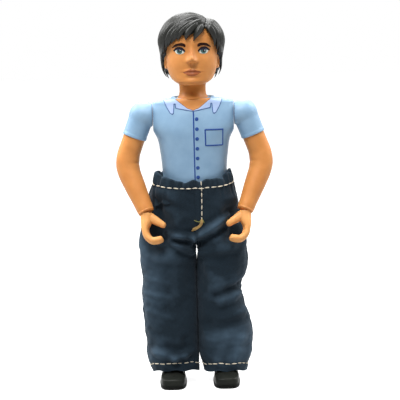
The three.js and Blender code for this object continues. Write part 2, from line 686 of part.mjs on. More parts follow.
// Hand: palm and fingers curl round the grip, with the thumb closing it from above
function handSolid() {
  const gripDrop = 8.4;
  const palm = GRIP_RADIUS + PALM_THICKNESS / 2;
  const flat = (x, drop) => new THREE.Vector3(x, 0, -drop);
  const fingers = new THREE.CatmullRomCurve3([
    flat(0, CLEARANCE),
    flat(palm * 0.38, gripDrop * 0.36),
    flat(palm * 0.84, gripDrop * 0.68),
    flat(palm * 0.98, gripDrop + palm * 0.12),
    flat(palm * 0.66, gripDrop + palm * 0.83),
    flat(-palm * 0.02, gripDrop + palm * 1.08),
    flat(-palm * 0.42, gripDrop + palm * 1.1),
  ]);
  const half = PALM_THICKNESS / 2;
  const fingerBody = sweep(
    fingers,
    [
      { share: 0, across: WRIST_RADIUS - 0.15, depth: WRIST_RADIUS - 0.3 },
      { share: 0.12, across: WRIST_RADIUS - 0.3, depth: WRIST_RADIUS - 0.25 },
      { share: 0.26, across: WRIST_RADIUS - 0.7, depth: HAND_HALF_BREADTH - 0.2 },
      { share: 0.42, across: half, depth: HAND_HALF_BREADTH },
      { share: 0.56, across: half, depth: HAND_HALF_BREADTH },
      { share: 0.7, across: half, depth: HAND_HALF_BREADTH - 0.05 },
      { share: 0.82, across: half, depth: HAND_HALF_BREADTH - 0.15 },
      { share: 0.93, across: half * 0.95, depth: HAND_HALF_BREADTH - 0.4 },
      { share: 0.98, across: half * 0.75, depth: HAND_HALF_BREADTH - 0.8 },
      { share: 1, across: half * 0.4, depth: HAND_HALF_BREADTH - 1.4 },
    ],
    10,
  );
  const thumb = new THREE.CatmullRomCurve3([
    flat(-0.2, gripDrop * 0.2),
    flat(-palm * 0.55, gripDrop * 0.52),
    flat(-palm * 1.02, gripDrop * 0.8),
    flat(-palm * 1.3, gripDrop * 1.0),
  ]);
  const thumbBody = sweep(
    thumb,
    [
      { share: 0, across: 1.9, depth: 1.9 },
      { share: 0.4, across: 1.7, depth: 1.75 },
      { share: 0.7, across: 1.4, depth: 1.6 },
      { share: 0.9, across: 1.15, depth: 1.35 },
      { share: 0.97, across: 0.8, depth: 1 },
      { share: 1, across: 0.35, depth: 0.5 },
    ],
    8,
  );
  const grip = bar("y", GRIP_RADIUS, -FAR, FAR, [0.1, 0, -gripDrop]);
  const belowWrist = box([-FAR, -FAR, -FAR], [FAR, FAR, -CLEARANCE]);
  return joined([joined([fingerBody, thumbBody]).subtract(grip).intersect(belowWrist), wristPeg(0)]);
}

// Legs: hip barrel, knee fork and tongue, ankle peg
function legRing(x, z, halfWidth, front, back) {
  return levelRing({ z, x, halfWidth, front, back, power: 2.1 }, LIMB_FACETS);
}

function thighSolid() {
  const barrelIn = CROTCH_HALF_WIDTH + CLEARANCE;
  const barrelOut = barrelIn + HIP_BARREL_WIDTH;
  const edge = 1.4;
  const barrelProfile = [
    [0, 0],
    [HIP_BARREL_RADIUS, 0],
    [HIP_BARREL_RADIUS, HIP_BARREL_WIDTH - edge],
    [HIP_BARREL_RADIUS - edge * 0.35, HIP_BARREL_WIDTH - edge * 0.35],
    [HIP_BARREL_RADIUS - edge, HIP_BARREL_WIDTH],
    [0, HIP_BARREL_WIDTH],
  ].map(([radius, height]) => new THREE.Vector2(radius, height));
  const barrelGeometry = new THREE.LatheGeometry(barrelProfile, 16);
  barrelGeometry.rotateZ(-Math.PI / 2);
  barrelGeometry.translate(barrelIn, 0, HIP_Z);
  const kneeEnd = KNEE_Z + KNEE_RADIUS * 0.5;
  const narrow = KNEE_RADIUS * 0.8;
  const thighTop = HIP_Z - HIP_BARREL_RADIUS * 0.3;
  const station = (at, x, halfWidth, front, back) => ({ at, x, halfWidth, front, back });
  const wide = THIGH_HALF_WIDTH;
  const deep = THIGH_HALF_DEPTH;
  const profile = new Profile([
    station(kneeEnd, KNEE_X, wide - 0.3, narrow, narrow),
    station(KNEE_Z + KNEE_RADIUS * 1.1, between(KNEE_X, HIP_X, 0.15), wide - 0.2, narrow + 0.5, narrow),
    station(between(KNEE_Z, HIP_Z, 0.45), between(KNEE_X, HIP_X, 0.45), wide - 0.1, deep - 0.2, deep - 0.3),
    station(thighTop, HIP_X, wide - 0.3, deep, deep),
  ]);
  const shaft = loft(
    levels(kneeEnd, thighTop, 5).map((z) => {
      const { x, halfWidth, front, back } = profile.sample(z);
      return legRing(x, z, halfWidth, front, back);
    }),
  );
  const cheekOut = THIGH_HALF_WIDTH - 0.3;
  const knee = bar("x", KNEE_RADIUS, KNEE_X - cheekOut, KNEE_X + cheekOut, [0, 0, KNEE_Z], 14);
  const slot = KNEE_TONGUE / 2 + CLEARANCE;
  const tongueSpace = KNEE_RADIUS + CLEARANCE;
  const fork = joined([
    bar("x", tongueSpace, KNEE_X - slot, KNEE_X + slot, [0, 0, KNEE_Z], 14),
    box(
      [KNEE_X - slot, -2 * KNEE_RADIUS, KNEE_Z - 2 * KNEE_RADIUS],
      [KNEE_X + slot, 2 * KNEE_RADIUS, KNEE_Z],
    ),
    box([KNEE_X - slot, 0, KNEE_Z - 1], [KNEE_X + slot, 2 * KNEE_RADIUS, KNEE_Z + tongueSpace]),
  ]);
  const pinBore = bar("x", KNEE_PIN_RADIUS + CLEARANCE, 0, FAR, [0, 0, KNEE_Z], 8);
  const axleEnd = barrelIn + HIP_AXLE_REACH + CLEARANCE;
  const axleBore = bar("x", HIP_AXLE_RADIUS + CLEARANCE, 0, axleEnd, [0, 0, HIP_Z], 12);
  return without(joined([solid(barrelGeometry), shaft, knee]), [fork, pinBore, axleBore]);
}

function shinSolid() {
  const shoulder = ANKLE_HEIGHT + CLEARANCE;
  const station = (at, x, halfWidth, front, back) => ({ at, x, halfWidth, front, back });
  const up = (share) => [between(ANKLE_HEIGHT, KNEE_Z, share), between(FOOT_X, KNEE_X, share)];
  const ankle = ANKLE_RADIUS;
  const deep = SHIN_HALF_DEPTH;
  const profile = new Profile([
    station(shoulder, FOOT_X, ankle, ankle, ankle + 0.2),
    station(...up(0.25), ankle + 0.15, ankle + 0.1, ankle + 0.5),
    station(...up(0.62), SHIN_HALF_WIDTH, deep - 0.2, deep),
    station(KNEE_Z, KNEE_X, SHIN_HALF_WIDTH - 0.1, deep - 0.1, deep - 0.1),
  ]);
  const shaft = loft(
    levels(shoulder, KNEE_Z, 6).map((z) => {
      const { x, halfWidth, front, back } = profile.sample(z);
      return legRing(x, z, halfWidth, front, back);
    }),
  );
  const kneeSpace = bar("x", KNEE_RADIUS + CLEARANCE, 0, FAR, [0, 0, KNEE_Z], 14);
  const calfTop = KNEE_Z - KNEE_RADIUS - CLEARANCE;
  const bendSpace = box([0, 0, calfTop], [FAR, FAR, FAR]);
  const half = KNEE_TONGUE / 2;
  const tongue = joined([
    bar("x", KNEE_RADIUS - CLEARANCE, KNEE_X - half, KNEE_X + half, [0, 0, KNEE_Z], 14),
    box(
      [KNEE_X - half, -KNEE_RADIUS * 0.7, KNEE_Z - KNEE_RADIUS - 2],
      [KNEE_X + half, KNEE_RADIUS * 0.7, KNEE_Z],
    ),
  ]);
  const peg = bar("z", ANKLE_PEG_RADIUS, ANKLE_HEIGHT - ANKLE_PEG_LENGTH, shoulder + 1, [FOOT_X, 0, 0], 12);
  const pinBore = bar("x", KNEE_PIN_RADIUS + CLEARANCE, 0, FAR, [0, 0, KNEE_Z], 8);
  return joined([without(shaft, [kneeSpace, bendSpace]), tongue, peg]).subtract(pinBore);
}

const kneePin = () => {
  const half = THIGH_HALF_WIDTH - 0.5;
  return bar("x", KNEE_PIN_RADIUS, KNEE_X - half, KNEE_X + half, [0, 0, KNEE_Z], 8);
};

const hipAxle = () => {
  const half = CROTCH_HALF_WIDTH + CLEARANCE + HIP_AXLE_REACH;
  return bar("x", HIP_AXLE_RADIUS, -half, half, [0, 0, HIP_Z], 12);
};

// Shoe: level sections from the sole up, the instep falling back to the ankle
function shoeRing({ z, halfWidth, toe, heel, power }) {
  return levelRing({ z, x: FOOT_X, halfWidth, front: toe, back: heel, power }, SHOE_FACETS).map((point) => {
    const alongHeel = THREE.MathUtils.smoothstep(point.y, -toe * 0.2, heel);
    point.x = FOOT_X + (point.x - FOOT_X) * (1 - 0.14 * alongHeel);
    return point;
  });
}

function shoeSolid() {
  const wide = SHOE_HALF_WIDTH;
  const toe = SHOE_TOE_REACH;
  const heel = SHOE_HEEL_REACH;
  const welt = SOLE_THICKNESS;
  const collar = ANKLE_RADIUS + 1.1;
  const toeward = (share) => between(welt, TOE_HEIGHT, share);
  const ankleward = (share) => between(TOE_HEIGHT, ANKLE_HEIGHT, share);
  const ring = (z, halfWidth, toeReach, heelReach, power) =>
    shoeRing({ z, halfWidth, toe: toeReach, heel: heelReach, power });
  const rings = [
    ring(0, wide - 0.3, toe - 0.3, heel - 0.3, 3.6),
    ring(0.3, wide, toe, heel, 3.6),
    ring(welt, wide, toe, heel, 3.6),
    ring(welt + 0.05, wide - SOLE_LIP, toe - SOLE_LIP, heel - SOLE_LIP, 3.5),
    ring(toeward(0.55), wide - SOLE_LIP - 0.05, toe - 0.4, heel - 0.4, 3.4),
    ring(toeward(0.88), wide - 0.7, toe - 1, heel - 0.5, 3.2),
    ring(TOE_HEIGHT, wide - 1.3, toe - 2.2, heel - 0.6, 3),
    ring(ankleward(0.2), wide - 1.4, toe * 0.58, heel - 0.7, 2.7),
    ring(ankleward(0.5), wide - 1.3, toe * 0.42, heel - 1, 2.4),
    ring(ANKLE_HEIGHT, collar, collar, collar + 1.4, 2.1),
  ];
  const pegFoot = ANKLE_HEIGHT - ANKLE_PEG_LENGTH - CLEARANCE;
  const bore = bar("z", ANKLE_PEG_RADIUS + CLEARANCE, pegFoot, ANKLE_HEIGHT + 1, [FOOT_X, 0, 0], 12);
  return loft(rings).subtract(bore);
}

// Jeans: thin closed cloth walls. Folds are ridges along lines seen from the front or the back.
const ridge = (fold, x, z) => {
  const [ax, az] = fold.from;
  const [bx, bz] = fold.to;
  const long = (bx - ax) ** 2 + (bz - az) ** 2;
  const share = THREE.MathUtils.clamp(((x - ax) * (bx - ax) + (z - az) * (bz - az)) / long, 0, 1);
  return fold.height * bell(Math.hypot(x - between(ax, bx, share), z - between(az, bz, share)), fold.width);
};

const above = (height) => CROTCH_Z + height;
const FRONT_FOLDS = [
  { from: [-1, above(4)], to: [13, above(12)], width: 2, height: 1.5 },
  { from: [-2, above(3)], to: [-12, above(7)], width: 2, height: 1.2 },
  { from: [2, above(-1)], to: [14, above(2)], width: 2, height: 1 },
  { from: [-2, above(-3)], to: [-15, above(-1)], width: 2.2, height: 1 },
  { from: [5, above(-6)], to: [8, KNEE_Z + 4], width: 2.6, height: 1.2 },
  { from: [-7, above(-8)], to: [-9, KNEE_Z + 2], width: 2.8, height: 1 },
  { from: [19, KNEE_Z + 7], to: [8, KNEE_Z + 3], width: 2, height: -1.5 },
  { from: [20, KNEE_Z - 3], to: [10, KNEE_Z - 6], width: 2.2, height: 1.2 },
  { from: [-20, KNEE_Z - 2], to: [-11, KNEE_Z - 5], width: 2.2, height: 1 },
  { from: [-6, KNEE_Z - 12], to: [-3, HEM_HEIGHT + 3], width: 2, height: -1.4 },
  { from: [-14, KNEE_Z - 14], to: [-11, HEM_HEIGHT + 4], width: 2.2, height: 0.9 },
  { from: [17, KNEE_Z - 13], to: [13, HEM_HEIGHT + 4], width: 2.2, height: 1 },
];
const BACK_FOLDS = [
  { from: [-1, above(3)], to: [12, above(8)], width: 2.2, height: 1.2 },
  { from: [1, above(3)], to: [-13, above(8)], width: 2.2, height: 1.2 },
  { from: [18, KNEE_Z + 2], to: [4, KNEE_Z], width: 2, height: -1.4 },
  { from: [-20, KNEE_Z + 2], to: [-4, KNEE_Z], width: 2, height: -1.4 },
  { from: [12, KNEE_Z - 8], to: [10, HEM_HEIGHT + 4], width: 2.4, height: 1 },
  { from: [-12, KNEE_Z - 8], to: [-10, HEM_HEIGHT + 4], width: 2.4, height: 1 },
];

function folded(point, middle) {
  const folds = point.y < 0 ? FRONT_FOLDS : BACK_FOLDS;
  const rise = folds.reduce((sum, fold) => sum + ridge(fold, point.x, point.z), 0);
  const out = new THREE.Vector2(point.x - middle.x, point.y - middle.y);
  const facing = Math.abs(out.y) / Math.max(out.length(), 1);
  point.y += Math.sign(out.y) * rise * facing;
  return point;
}

// A cloth tube between its outer loops and the same loops drawn in by the cloth's thickness
function clothTube(rings, middles) {
  const inner = rings.map((ring, k) =>
    ring.map((point) => {
      const inward = new THREE.Vector3(middles[k].x - point.x, middles[k].y - point.y, 0).normalize();
      return point.clone().addScaledVector(inward, CLOTH_THICKNESS);
    }),
  );
  return loft([...rings, ...inner.reverse()], true);
}

function legProfile(outline) {
  const calf = between(HEM_HEIGHT, KNEE_Z, 0.5);
  const thigh = between(KNEE_Z, CROTCH_Z, 0.5);
  const apart = (share) => LEG_GAP + outline.parting * share;
  const lowCalf = between(outline.hem, outline.calf, 0.7);
  const overKnee = between(outline.knee, outline.calf, 0.25);
  const station = (at, outer, inner, depth) => ({ at, outer, inner, depth });
  return new Profile([
    station(HEM_HEIGHT, outline.hem, apart(1), HEM_HALF_DEPTH),
    station(between(HEM_HEIGHT, calf, 0.45), lowCalf, apart(0.6), HEM_HALF_DEPTH + 0.2),
    station(calf, outline.calf, apart(0.15), LEG_HALF_DEPTH - 0.2),
    station(KNEE_Z, overKnee, LEG_GAP, LEG_HALF_DEPTH),
    station(between(KNEE_Z, thigh, 0.55), outline.knee, LEG_GAP, LEG_HALF_DEPTH),
    station(thigh + 3, outline.thigh, LEG_GAP, LEG_HALF_DEPTH + 0.1),
    station(CROTCH_Z, outline.crotch, LEG_GAP, LEG_HALF_DEPTH + 0.3),
  ]);
}

function legClothTube(side, outline, from, to, rows, isHem) {
  const profile = legProfile(outline);
  const middles = [];
  const rings = levels(from, to, rows).map((z) => {
    const { outer, inner, depth } = profile.sample(z);
    const middle = new THREE.Vector2((side * (outer + inner)) / 2, 0);
    middles.push(middle);
    const halfWidth = (outer - inner) / 2;
    const ring = levelRing({ z, x: middle.x, halfWidth, front: depth, back: depth }, CLOTH_FACETS);
    return ring.map((point) => {
      const lift = isHem ? outline.hemLift * THREE.MathUtils.clamp(-point.y / depth, -0.3, 1) : 0;
      const share = THREE.MathUtils.clamp((to - z) / (to - from), 0, 1);
      const moved = folded(point, middle);
      moved.z += lift * share ** 3;
      return moved;
    });
  });
  return clothTube(rings, middles);
}

function seatCloth() {
  const station = (at, left, right, depth, crease, pucker) => ({ at, left, right, depth, crease, pucker });
  const waistDepth = WAIST_HALF_DEPTH + CLEARANCE + CLOTH_THICKNESS + WAISTBAND_PUCKER;
  const stitchZ = WAISTBAND_Z - 3.2;
  const hipZ = between(CROTCH_Z, stitchZ, 0.6);
  const reach = (share) => ["hip", "crotch"].map((name) => [LEFT_LEG[name], RIGHT_LEG[name]])
    .reduce((hip, crotch) => hip.map((value, side) => between(value, crotch[side], share)));
  const waist = [LEFT_LEG.waist, RIGHT_LEG.waist];
  const wider = (value) => waist.map((side) => side + value);
  const profile = new Profile([
    station(CROTCH_Z + CLEARANCE, ...reach(1), SEAT_HALF_DEPTH, 0.34, 0),
    station(between(CROTCH_Z, hipZ, 0.5), ...reach(0.85), SEAT_HALF_DEPTH + 0.2, 0.1, 0),
    station(hipZ, ...reach(0.2), SEAT_HALF_DEPTH, 0, 0.1),
    station(stitchZ, ...wider(0.5), waistDepth + 0.1, 0, 0.5),
    station(WAISTBAND_Z - 1, ...wider(0.3), waistDepth + 0.2, 0, 1),
    station(WAISTBAND_Z, ...wider(0), waistDepth + 0.3, 0, 1),
  ]);
  const middles = [];
  const rings = levels(CROTCH_Z + CLEARANCE, WAISTBAND_Z, 10).map((z) => {
    const { left, right, depth, crease, pucker } = profile.sample(z);
    const halfWidth = (left + right) / 2;
    const middle = new THREE.Vector2((left - right) / 2, 0);
    middles.push(middle);
    const ring = levelRing({ z, x: middle.x, halfWidth, front: depth, back: depth }, 2 * WAISTBAND_PUCKERS);
    return ring.map((point) => {
      point.y *= 1 - crease * bell(point.x, 3.2);
      const out = new THREE.Vector2(point.x - middle.x, point.y);
      const wave = WAISTBAND_PUCKER * pucker * Math.cos(WAISTBAND_PUCKERS * out.angle());
      out.normalize();
      point.x += out.x * wave;
      point.y += out.y * wave;
      const sideways = ((point.x - middle.x) / halfWidth) ** 2;
      const raised = THREE.MathUtils.smoothstep(z, hipZ, WAISTBAND_Z);
      const moved = folded(point, middle);
      moved.z += WAISTBAND_SIDE_LIFT * sideways * raised;
      return moved;
    });
  });
  return clothTube(rings, middles);
}

// Assembly
const figure = new THREE.Group();
figure.name = "doll_figure";
const torso = torsoShells();
const { skin, shirt, hair, denim, shoe, pin } = FINISHES;
figure.add(
  pieceMesh("torso_front", torso.front, shirt),
  pieceMesh("torso_back", torso.back, shirt),
  pieceMesh("neck", neckPost(), skin),
  pieceMesh("head", headSolid(), skin),
  pieceMesh("hair", hairSolid(), hair),
  pieceMesh("hip_axle", hipAxle(), pin),
);

const limbs = {
  arm: armSolid(),
  hand: handSolid(),
  thigh: thighSolid(),
  shin: shinSolid(),
  shoe: shoeSolid(),
  knee_pin: kneePin(),
};
const limbFinishes = { arm: skin, hand: skin, thigh: skin, shin: skin, shoe, knee_pin: pin };
for (const [sideName, mirror] of [["left", 1], ["right", -1]]) {
  const side = new THREE.Group();
  side.scale.x = mirror;
  for (const [limb, body] of Object.entries(limbs)) {
    const mesh = pieceMesh(`${sideName}_${limb}`, body, limbFinishes[limb]);
    if (limb === "hand") mesh.applyMatrix4(wristFrame());
    side.add(mesh);
  }
  figure.add(side);
}

figure.add(pieceMesh("jeans_seat", seatCloth(), denim));
for (const [sideName, side, outline] of [["left", 1, LEFT_LEG], ["right", -1, RIGHT_LEG]]) {
  const upper = legClothTube(side, outline, KNEE_Z + CLEARANCE, CROTCH_Z, 7, false);
  const lower = legClothTube(side, outline, HEM_HEIGHT, KNEE_Z, 8, true);
  figure.add(pieceMesh(`jeans_${sideName}_thigh`, upper, denim));
  figure.add(pieceMesh(`jeans_${sideName}_shin`, lower, denim));
}

// The origin lies on the floor under the middle of the figure's box.
const extent = new THREE.Box3().setFromObject(figure, true);
figure.position.y = -(extent.min.y + extent.max.y) / 2;

export default figure;
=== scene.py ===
"""Dressed model of a jointed plastic doll: moulded shirt, sculpted hair and sewn cloth jeans.

Sizes are millimetres from the doll's own upright axis, and become metres as each mesh is made.
The doll faces -Y and its own left side is +X.
"""
import json
import logging
import math
from dataclasses import dataclass
from enum import Enum
from typing import ClassVar

import bpy
import numpy as np
from mathutils import Matrix, Vector
from mathutils.bvhtree import BVHTree
from mathutils.geometry import delaunay_2d_cdt


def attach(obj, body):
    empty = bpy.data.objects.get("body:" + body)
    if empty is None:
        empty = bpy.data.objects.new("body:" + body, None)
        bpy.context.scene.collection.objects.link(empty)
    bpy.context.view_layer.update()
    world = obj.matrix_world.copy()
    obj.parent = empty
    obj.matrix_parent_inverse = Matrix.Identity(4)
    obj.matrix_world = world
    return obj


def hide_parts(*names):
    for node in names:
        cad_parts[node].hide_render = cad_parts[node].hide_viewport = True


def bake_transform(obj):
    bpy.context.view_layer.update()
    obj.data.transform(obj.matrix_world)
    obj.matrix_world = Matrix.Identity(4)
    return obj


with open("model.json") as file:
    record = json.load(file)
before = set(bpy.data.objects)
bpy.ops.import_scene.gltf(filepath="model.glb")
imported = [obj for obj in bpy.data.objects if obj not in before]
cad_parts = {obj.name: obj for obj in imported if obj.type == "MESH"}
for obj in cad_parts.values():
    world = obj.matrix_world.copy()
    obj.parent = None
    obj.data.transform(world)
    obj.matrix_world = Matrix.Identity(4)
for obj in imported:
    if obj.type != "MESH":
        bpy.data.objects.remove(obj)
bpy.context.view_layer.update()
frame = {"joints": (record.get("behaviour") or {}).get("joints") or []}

MM = 0.001
JOINTS = {joint["name"]: Vector(joint["pos_m"]) / MM for joint in frame["joints"]}
AXIS_Y = JOINTS["head_turn"].y
LOG = logging.getLogger("doll")
SIDES = (1, -1)
SIDE_NAMES = {1: "left", -1: "right"}
WRIST = (19.6, -8.0, 71.3)

Array = np.ndarray
Socket = bpy.types.NodeSocket
Material = bpy.types.Material
Piece = bpy.types.Object
Shape = tuple[Array, list]
Flat = tuple[float, float]


class Ends(Enum):
    """Which ends of a skin over rings are closed."""

    NEITHER = ()
    FIRST = (0,)
    BOTH = (0, -1)


class Face(Enum):
    """Which way a fold in the cloth looks."""

    FRONT = -1
    BACK = 1


def ease(value: Array, low: float, high: float) -> Array:
    """Share from 0 at low to 1 at high, eased at both ends."""
    share = np.clip((value - low) / (high - low), 0.0, 1.0)
    return share * share * (3.0 - 2.0 * share)


def bell(distance: Array, reach: float) -> Array:
    """Soft bump: 1 at no distance, fading over the reach."""
    return np.exp(-((distance / reach) ** 2))


def mix(first: float, second: float, share: Array) -> Array:
    """Value that goes from first to second as the share goes from 0 to 1."""
    return first + (second - first) * share


def powered(value: Array, exponent: float) -> Array:
    """Signed power, which squares off an oval."""
    return np.sign(value) * np.abs(value) ** exponent


def linear(code: str) -> tuple[float, float, float, float]:
    """Turn a colour as it looks on screen into the light values a shader works in.

    Args:
        code: six hexadecimal digits after a hash sign.

    Returns:
        Red, green, blue and alpha.
    """
    parts = [int(code[k:k + 2], 16) / 255 for k in (1, 3, 5)]
    light = [p / 12.92 if p <= 0.04045 else ((p + 0.055) / 1.055) ** 2.4 for p in parts]
    return light[0], light[1], light[2], 1.0


def turns(count: int) -> Array:
    """Angles spaced evenly round a full turn."""
    return np.linspace(0, 2 * math.pi, count, endpoint=False)


def unit(vectors: Array) -> Array:
    """The same directions, each of length 1."""
    return vectors / np.linalg.norm(vectors, axis=-1, keepdims=True)


def stacked(x: Array, y: Array, z: Array) -> Array:
    """Points of level rows, from x and y in rows by columns and one height for each row."""
    return np.dstack([x, y, np.broadcast_to(z[:, None], x.shape)])


def metres(points: Array) -> list:
    """Points in metres of the shared frame, from millimetres about the doll's own axis."""
    return ((points + (0, AXIS_Y, 0)) * MM).tolist()


def quads_between(left: Array, right: Array) -> Array:
    """Faces between columns of point numbers and their neighbours, row by row."""
    return np.stack([left[:-1], right[:-1], right[1:], left[1:]], axis=-1)


def bow(start: Array, corner: Array, end: Array, count: int) -> Array:
    """Points of a curve from start to end, drawn towards a corner."""
    t = np.linspace(0, 1, count)[:, None]
    return (1 - t) ** 2 * start + 2 * t * (1 - t) * corner + t ** 2 * end


def gap_to_line(spots: Array, start: Flat, end: Flat) -> Array:
    """Distance of flat spots from a straight line between two points.

    Args:
        spots: the spots, of two numbers each.
        start: the line's first point.
        end: its last point.

    Returns:
        One distance for each spot.
    """
    first, along = np.array(start), np.array(end) - np.array(start)
    share = np.clip(((spots - first) @ along) / (along @ along), 0, 1)
    return np.linalg.norm(spots - first - share[..., None] * along, axis=-1)


def inside_of(outline: Array, spots: Array) -> Array:
    """Which flat spots lie inside an outline.

    Args:
        outline: points around it.
        spots: the spots, of two numbers each.

    Returns:
        True or false for each spot.
    """
    inside = np.zeros(len(spots), dtype=bool)
    for a, b in zip(outline, np.roll(outline, -1, axis=0)):
        rise = b[1] - a[1] if b[1] != a[1] else 1e-9
        meets = a[0] + (spots[:, 1] - a[1]) * (b[0] - a[0]) / rise
        inside ^= ((a[1] > spots[:, 1]) != (b[1] > spots[:, 1])) & (spots[:, 0] < meets)
    return inside


class Profile:
    """Sizes that change smoothly from station to station."""

    def __init__(self, *stations: tuple) -> None:
        """Keep the stations.

        Args:
            stations: rows of a place followed by the sizes there, in rising order of place.
        """
        table = np.array(stations, dtype=float)
        self.places = table[:, 0]
        self.sizes = table[:, 1:]
        gaps = np.diff(self.places)[:, None]
        steps = np.diff(self.sizes, axis=0) / gaps
        inner = (steps[:-1] * gaps[1:] + steps[1:] * gaps[:-1]) / (gaps[1:] + gaps[:-1])
        self.slopes = np.vstack([steps[:1], inner, steps[-1:]])

    def at(self, place: Array) -> list[Array]:
        """Sizes at each place.

        Args:
            place: one place or an array of them.

        Returns:
            One array for each size.
        """
        place = np.clip(np.asarray(place, dtype=float), self.places[0], self.places[-1])
        k = np.clip(np.searchsorted(self.places, place) - 1, 0, len(self.places) - 2)
        gap = (self.places[k + 1] - self.places[k])[..., None]
        t = (place[..., None] - self.places[k][..., None]) / gap
        ahead = t * t * (3 - 2 * t)
        leaving = t * (1 - t) ** 2 * gap
        coming = t * t * (t - 1) * gap
        value = mix(self.sizes[k], self.sizes[k + 1], ahead)
        value = value + leaving * self.slopes[k] + coming * self.slopes[k + 1]
        return [value[..., i] for i in range(value.shape[-1])]


def curve_through(points: list | tuple, count: int, closed: bool = False) -> Array:
    """Smooth curve through points.

    Args:
        points: the points, of two or three numbers each.
        count: how many points the curve gets.
        closed: whether the curve returns to its first point.

    Returns:
        Array of points evenly spaced along the curve.
    """
    knots = [tuple(p) for p in points]
    ends = [knots[-1], *knots, knots[0], knots[1]] if closed else [knots[0], *knots, knots[-1]]
    table = np.array(ends, dtype=float)
    spans = len(table) - 3
    fine = []
    for k in range(spans):
        a, b, c, d = table[k:k + 4]
        t = np.linspace(0, 1, 40, endpoint=k == spans - 1)[:, None]
        fine.append(0.5 * (2 * b + (c - a) * t + (2 * a - 5 * b + 4 * c - d) * t ** 2
                           + (3 * b - a - 3 * c + d) * t ** 3))
    path = np.vstack(fine)
    return evenly(path, count + 1)[:-1] if closed else evenly(path, count)


def travelled(path: Array) -> Array:
    """Distance from the start of a path to each of its points."""
    return np.concatenate([[0], np.cumsum(np.linalg.norm(np.diff(path, axis=0), axis=1))])


def evenly(path: Array, count: int) -> Array:
    """Points spaced evenly along a path of straight steps.

    Args:
        path: the path's corners.
        count: how many points it gets.

    Returns:
        The new points.
    """
    along = travelled(path)
    stops = np.linspace(0, along[-1], count)
    return np.column_stack([np.interp(stops, along, path[:, i]) for i in range(path.shape[1])])


def oval(half_width: Array, front: Array, back: Array, power: float | Array,
         turn: Array) -> tuple[Array, Array]:
    """Level section between an oval and a box.

    Args:
        half_width: half width of each row.
        front: how far each row reaches towards -Y.
        back: how far each row reaches towards +Y.
        power: 2 for an oval, more for a boxier form: one number, or a column with one for each row.
        turn: angles, 0 at the front and growing towards +X.

    Returns:
        The x and y of every point, rows by angles.
    """
    middle = ((back - front) / 2)[:, None]
    half_depth = ((back + front) / 2)[:, None]
    x = half_width[:, None] * powered(np.sin(turn), 2 / power)
    y = middle - half_depth * powered(np.cos(turn), 2 / power)
    return x, y


def skin(rings: Array, ends: Ends = Ends.BOTH) -> Shape:
    """Faces over rows of points, each of which closes on itself.

    Args:
        rings: rows by columns by three.
        ends: which end rows are closed by a fan.

    Returns:
        The points and the faces.
    """
    rows, columns = rings.shape[:2]
    index = np.arange(rows * columns).reshape(rows, columns)
    right = np.roll(index, -1, axis=1)
    faces = quads_between(index, right).reshape(-1, 4).tolist()
    points = rings.reshape(-1, 3)
    for end in ends.value:
        centre = len(points)
        points = np.vstack([points, rings[end].mean(axis=0)])
        pairs = zip(index[end].tolist(), right[end].tolist())
        faces += [[centre, b, a] if end == 0 else [centre, a, b] for a, b in pairs]
    return points, faces


def together(*shapes: Shape) -> Shape:
    """Several shapes as one.

    Args:
        shapes: points and faces of each.

    Returns:
        All points and all faces.
    """
    points, faces, start = [], [], 0
    for some_points, some_faces in shapes:
        points.append(some_points)
        faces += [[k + start for k in face] for face in some_faces]
        start += len(some_points)
    return np.vstack(points), faces


def vertex_normals(points: Array, faces: Array) -> Array:
    """Direction that each point of a mesh of four-sided faces looks.

    Args:
        points: the points.
        faces: four point numbers each.

    Returns:
        Directions of unit length.
    """
    across = points[faces[:, 2]] - points[faces[:, 0]]
    along = points[faces[:, 3]] - points[faces[:, 1]]
    facing = np.cross(across, along)
    total = np.zeros_like(points)
    for k in range(4):
        np.add.at(total, faces[:, k], facing)
    return total / np.maximum(np.linalg.norm(total, axis=1, keepdims=True), 1e-9)


def add_object(name: str, data: bpy.types.ID) -> Piece:
    """Put an object into the scene.

    Args:
        name: its name.
        data: its mesh, light or camera.

    Returns:
        The object, at the origin.
    """
    made = bpy.data.objects.new(name, data)
    bpy.context.scene.collection.objects.link(made)
    return made


def note(mesh: bpy.types.Mesh, name: str, values: Array) -> None:
    """Keep a number or a vector at each point of a mesh, for its finish to read.

    Args:
        mesh: the mesh.
        name: what the finish calls it.
        values: one number or row of three for each point.
    """
    kind, field = ("FLOAT", "value") if values.ndim == 1 else ("FLOAT_VECTOR", "vector")
    held = mesh.attributes.new(name, kind, "POINT")
    held.data.foreach_set(field, values.astype(np.float32).ravel())


def make_piece(name: str, shape: Shape, material: Material) -> Piece:
    """Make a smooth-shaded piece, its faces turned outwards.

    Args:
        name: the piece's name.
        shape: points in millimetres from the doll's axis, and faces.
        material: the finish of the whole piece.

    Returns:
        The new object, at the origin.
    """
    points, faces = shape
    mesh = bpy.data.meshes.new(name)
    mesh.from_pydata(metres(points), [], faces)
    mesh.update()
    out = sum((p.center - mesh.vertices[0].co).dot(p.normal) * p.area for p in mesh.polygons)
    if out < 0:
        mesh.flip_normals()
    mesh.polygons.foreach_set("use_smooth", [True] * len(mesh.polygons))
    mesh.materials.append(material)
    return add_object(name, mesh)


def settle(piece: Piece, body: str, slot: str, *nodes: str) -> None:
    """Let a piece ride on a body and stand for the CAD nodes named.

    Args:
        piece: the finished piece.
        body: the body that carries it.
        slot: not used.
        nodes: CAD nodes that the piece stands for.
    """
    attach(piece, body)
    if nodes:
        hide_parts(*nodes)
    LOG.info("%s rides on %s", piece.name, body)


